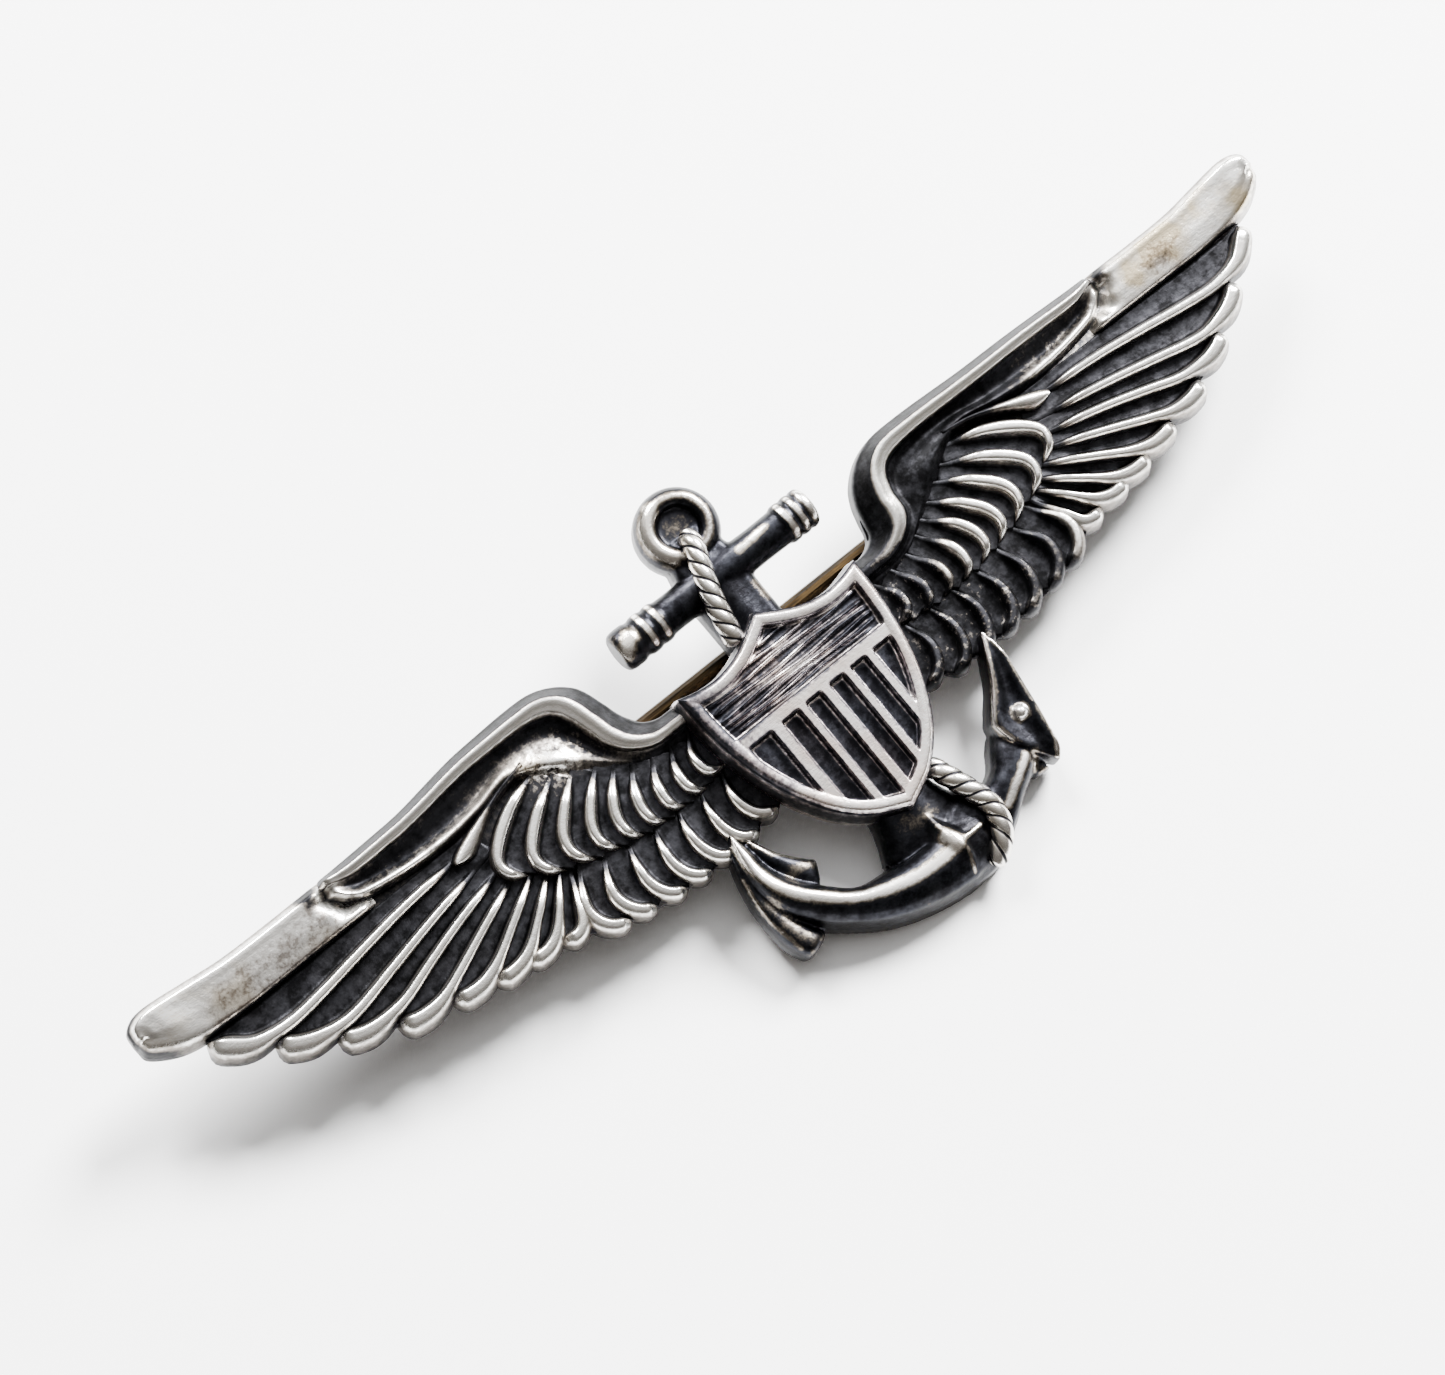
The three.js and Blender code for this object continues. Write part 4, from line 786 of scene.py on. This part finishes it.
u, v = np.meshgrid(np.linspace(-1, 1, 231), np.linspace(0, 1, 231), indexing="ij")
sx, sy = shield_face(u, v)
outline = np.vstack([TOP, SIDE[1:]])
outline = np.vstack([outline, outline[::-1] * [-1, 1]])
depth = np.full(sx.size, 9.0)
flat = np.column_stack([sx.ravel(), sy.ravel()])
for part in np.array_split(outline, 16):
    depth = np.minimum(depth, np.linalg.norm(flat[:, None] - part[None], axis=2).min(1))
depth = depth.reshape(sx.shape)
field = ease(0.62, 0.76, depth)
chief = field * ease(-0.42, -0.28, sy)
cuts = sum(tall * (0.8 + 0.2 * np.sin(2.3 * sx + 9 * y0))
           * np.exp(-((sy - y0 - 0.05 * np.sin(1.3 * sx + 5 * y0)) / (1.3 * wide)) ** 2)
           * soft_in(lo, hi, sx, 0.35)
           for y0, wide, tall, lo, hi in (
               (2.55, .08, .20, -.9, 1.6), (2.1, .08, .24, -2.3, 2.6), (1.66, .09, .30, -4.6, 4.4),
               (1.2, .09, .30, -4.5, 4.4), (.78, .09, .30, -4.5, 4.4), (.42, .07, .28, -4.4, 4.4),
               (.12, .06, .26, -4.3, 4.3), (-.14, .05, .18, -3.9, 3.8)))
stripes = field * (1 - ease(-1.14, -1.0, sy)) * sum(
    soft_in(lo, hi, sx, 0.07) for lo, hi in ((-4.3, -3.02), (-2.32, -1.35), (-.85, .03),
                                             (.63, 1.45), (1.95, 2.8), (3.35, 4.4)))
sz = (2.70 + 0.06 * (1 - (sx / 5.5) ** 2) - 0.16 * (1 - ease(0.0, 0.3, depth)) ** 2
      + 0.05 * np.sin(np.pi * np.clip(depth / 0.68, 0, 1)) - 0.40 * chief + chief * cuts - 0.5 * stripes)
n, m = sx.shape
index = np.arange(n * m).reshape(n, m)
quads = np.stack([index[:-1, :-1], index[1:, :-1], index[1:, 1:], index[:-1, 1:]], -1).reshape(-1, 4)
loop = np.concatenate([index[:, 0], index[-1, 1:-1], index[-1:, -1], index[0, -2:0:-1]])
face = np.stack([sx, sy, sz], -1).reshape(-1, 3)
edge = face[loop]
away = np.gradient(np.vstack([edge[-1:], edge, edge[:1]])[:, :2], axis=0)[1:-1]
away = np.column_stack([away[:, 1], -away[:, 0]])
away /= np.maximum(np.linalg.norm(away, axis=1), 1e-9)[:, None]
away *= np.sign(np.sum(away * (edge[:, :2] - [0, -1]), 1))[:, None]
# the drafted side walls: how far out of the face's outline, height, wear
SIDE_WALL = ((0.04, 2.35, 0.35), (0.10, 1.9, 0.12), (0.18, 1.35, 0.08), (0.22, 0.75, 0.0))
points = np.vstack([face] + [np.column_stack([edge[:, :2] + away * out, np.full(len(loop), z)])
                             for out, z, _ in SIDE_WALL])
rings = [loop] + [n * m + i * len(loop) + np.arange(len(loop)) for i in range(len(SIDE_WALL))]
faces = quads.tolist()
for a, b in zip(rings[:-1], rings[1:]):
    faces += np.stack([a, np.roll(a, -1), np.roll(b, -1), b], 1).tolist()
faces.append(rings[-1].tolist())
proud, _ = standing(points, faces, 12)
middle = 0.42 + 0.58 * np.exp(-((sx + 0.4) / 2.3) ** 2)
wear = 0.80 - 0.34 * (1 - ease(-5.4, -2.2, sx)) * (1 - chief) - 0.25 * (1 - ease(0.04, 0.22, depth))
wear = wear * (1 - chief) + chief * ease(0.06, 0.15, cuts) * middle
wear = wear * (1 - np.clip(1.25 * stripes, 0, 1))
wear = np.concatenate([wear.ravel()] + [np.full(len(loop), w) for _, _, w in SIDE_WALL])
wear = np.clip(wear + proud / 0.12, 0, 1)
shield_silver = rubbed_silver("struck_sterling_shield", oxide="141417", haze="34353b",
                              half_rubbed="807a7d", bright="f6f0ec", gold="e0cabb", spots=0.40)
silver_piece("shield_struck", points, faces, wear, shield_silver, ["shield"], 0.16, 0.5)


# ---- Joint, rivet and catch ------------------------------------------------------------------
# Stock nickel-silver findings soldered to the wings' backs: a two-eared joint with its rivet, and
# a roll-over catch. They are stamped and left as made, with a light tarnish.
nickel_silver = bpy.data.materials.new("stamped_nickel_silver")
nickel_silver.use_nodes = True
t = nickel_silver.node_tree
at = add_node(t, "ShaderNodeTexCoord").outputs["Object"]
tarnish = add_node(t, "ShaderNodeTexNoise", {"Scale": 700.0, "Detail": 4.0}, {"Vector": at}).outputs["Fac"]
colour = add_node(t, "ShaderNodeValToRGB", links={"Fac": tarnish},
                  stops=[(0.0, "4d4942"), (0.45, "6f6b62"), (0.6, "8e897e"), (1.0, "aaa598")]).outputs[0]
grain = add_node(t, "ShaderNodeTexNoise", {"Scale": 4000.0, "Detail": 2.0}, {"Vector": at}).outputs["Fac"]
bump = add_node(t, "ShaderNodeBump", {"Strength": 0.4, "Distance": 0.00002}, {"Height": grain}).outputs[0]
finish = t.nodes["Principled BSDF"]
finish.inputs["Metallic"].default_value = 1.0
finish.inputs["Roughness"].default_value = 0.34
t.links.new(colour, finish.inputs["Base Color"])
t.links.new(bump, finish.inputs["Normal"])
for node in ("pin_joint", "joint_rivet", "catch_base", "catch_rotor"):
    piece = frame["nodes"][node]
    piece.data.materials.clear()
    piece.data.materials.append(nickel_silver)


# ---- The pin stem ----------------------------------------------------------------------------
# Hard-drawn brass wire, flattened round its rivet and ground to a point. Age has browned it.
browned_brass = bpy.data.materials.new("browned_drawn_brass")
browned_brass.use_nodes = True
t = browned_brass.node_tree
at = add_node(t, "ShaderNodeTexCoord").outputs["Object"]
drawn = add_node(t, "ShaderNodeMapping", {"Scale": (1.0, 12.0, 12.0)}, {"Vector": at}).outputs[0]
streak = add_node(t, "ShaderNodeTexNoise", {"Scale": 600.0, "Detail": 4.0}, {"Vector": drawn}).outputs["Fac"]
colour = add_node(t, "ShaderNodeValToRGB", links={"Fac": streak},
                  stops=[(0.0, "0f0c08"), (0.4, "211a12"), (0.62, "3a2e1e"), (1.0, "5e4b30")]).outputs[0]
bump = add_node(t, "ShaderNodeBump", {"Strength": 0.3, "Distance": 0.00002}, {"Height": streak}).outputs[0]
finish = t.nodes["Principled BSDF"]
finish.inputs["Metallic"].default_value = 1.0
finish.inputs["Roughness"].default_value = 0.38
t.links.new(colour, finish.inputs["Base Color"])
t.links.new(bump, finish.inputs["Normal"])
frame["nodes"]["pin_stem"].data.materials.clear()
frame["nodes"]["pin_stem"].data.materials.append(browned_brass)

bpy.context.view_layer.update()
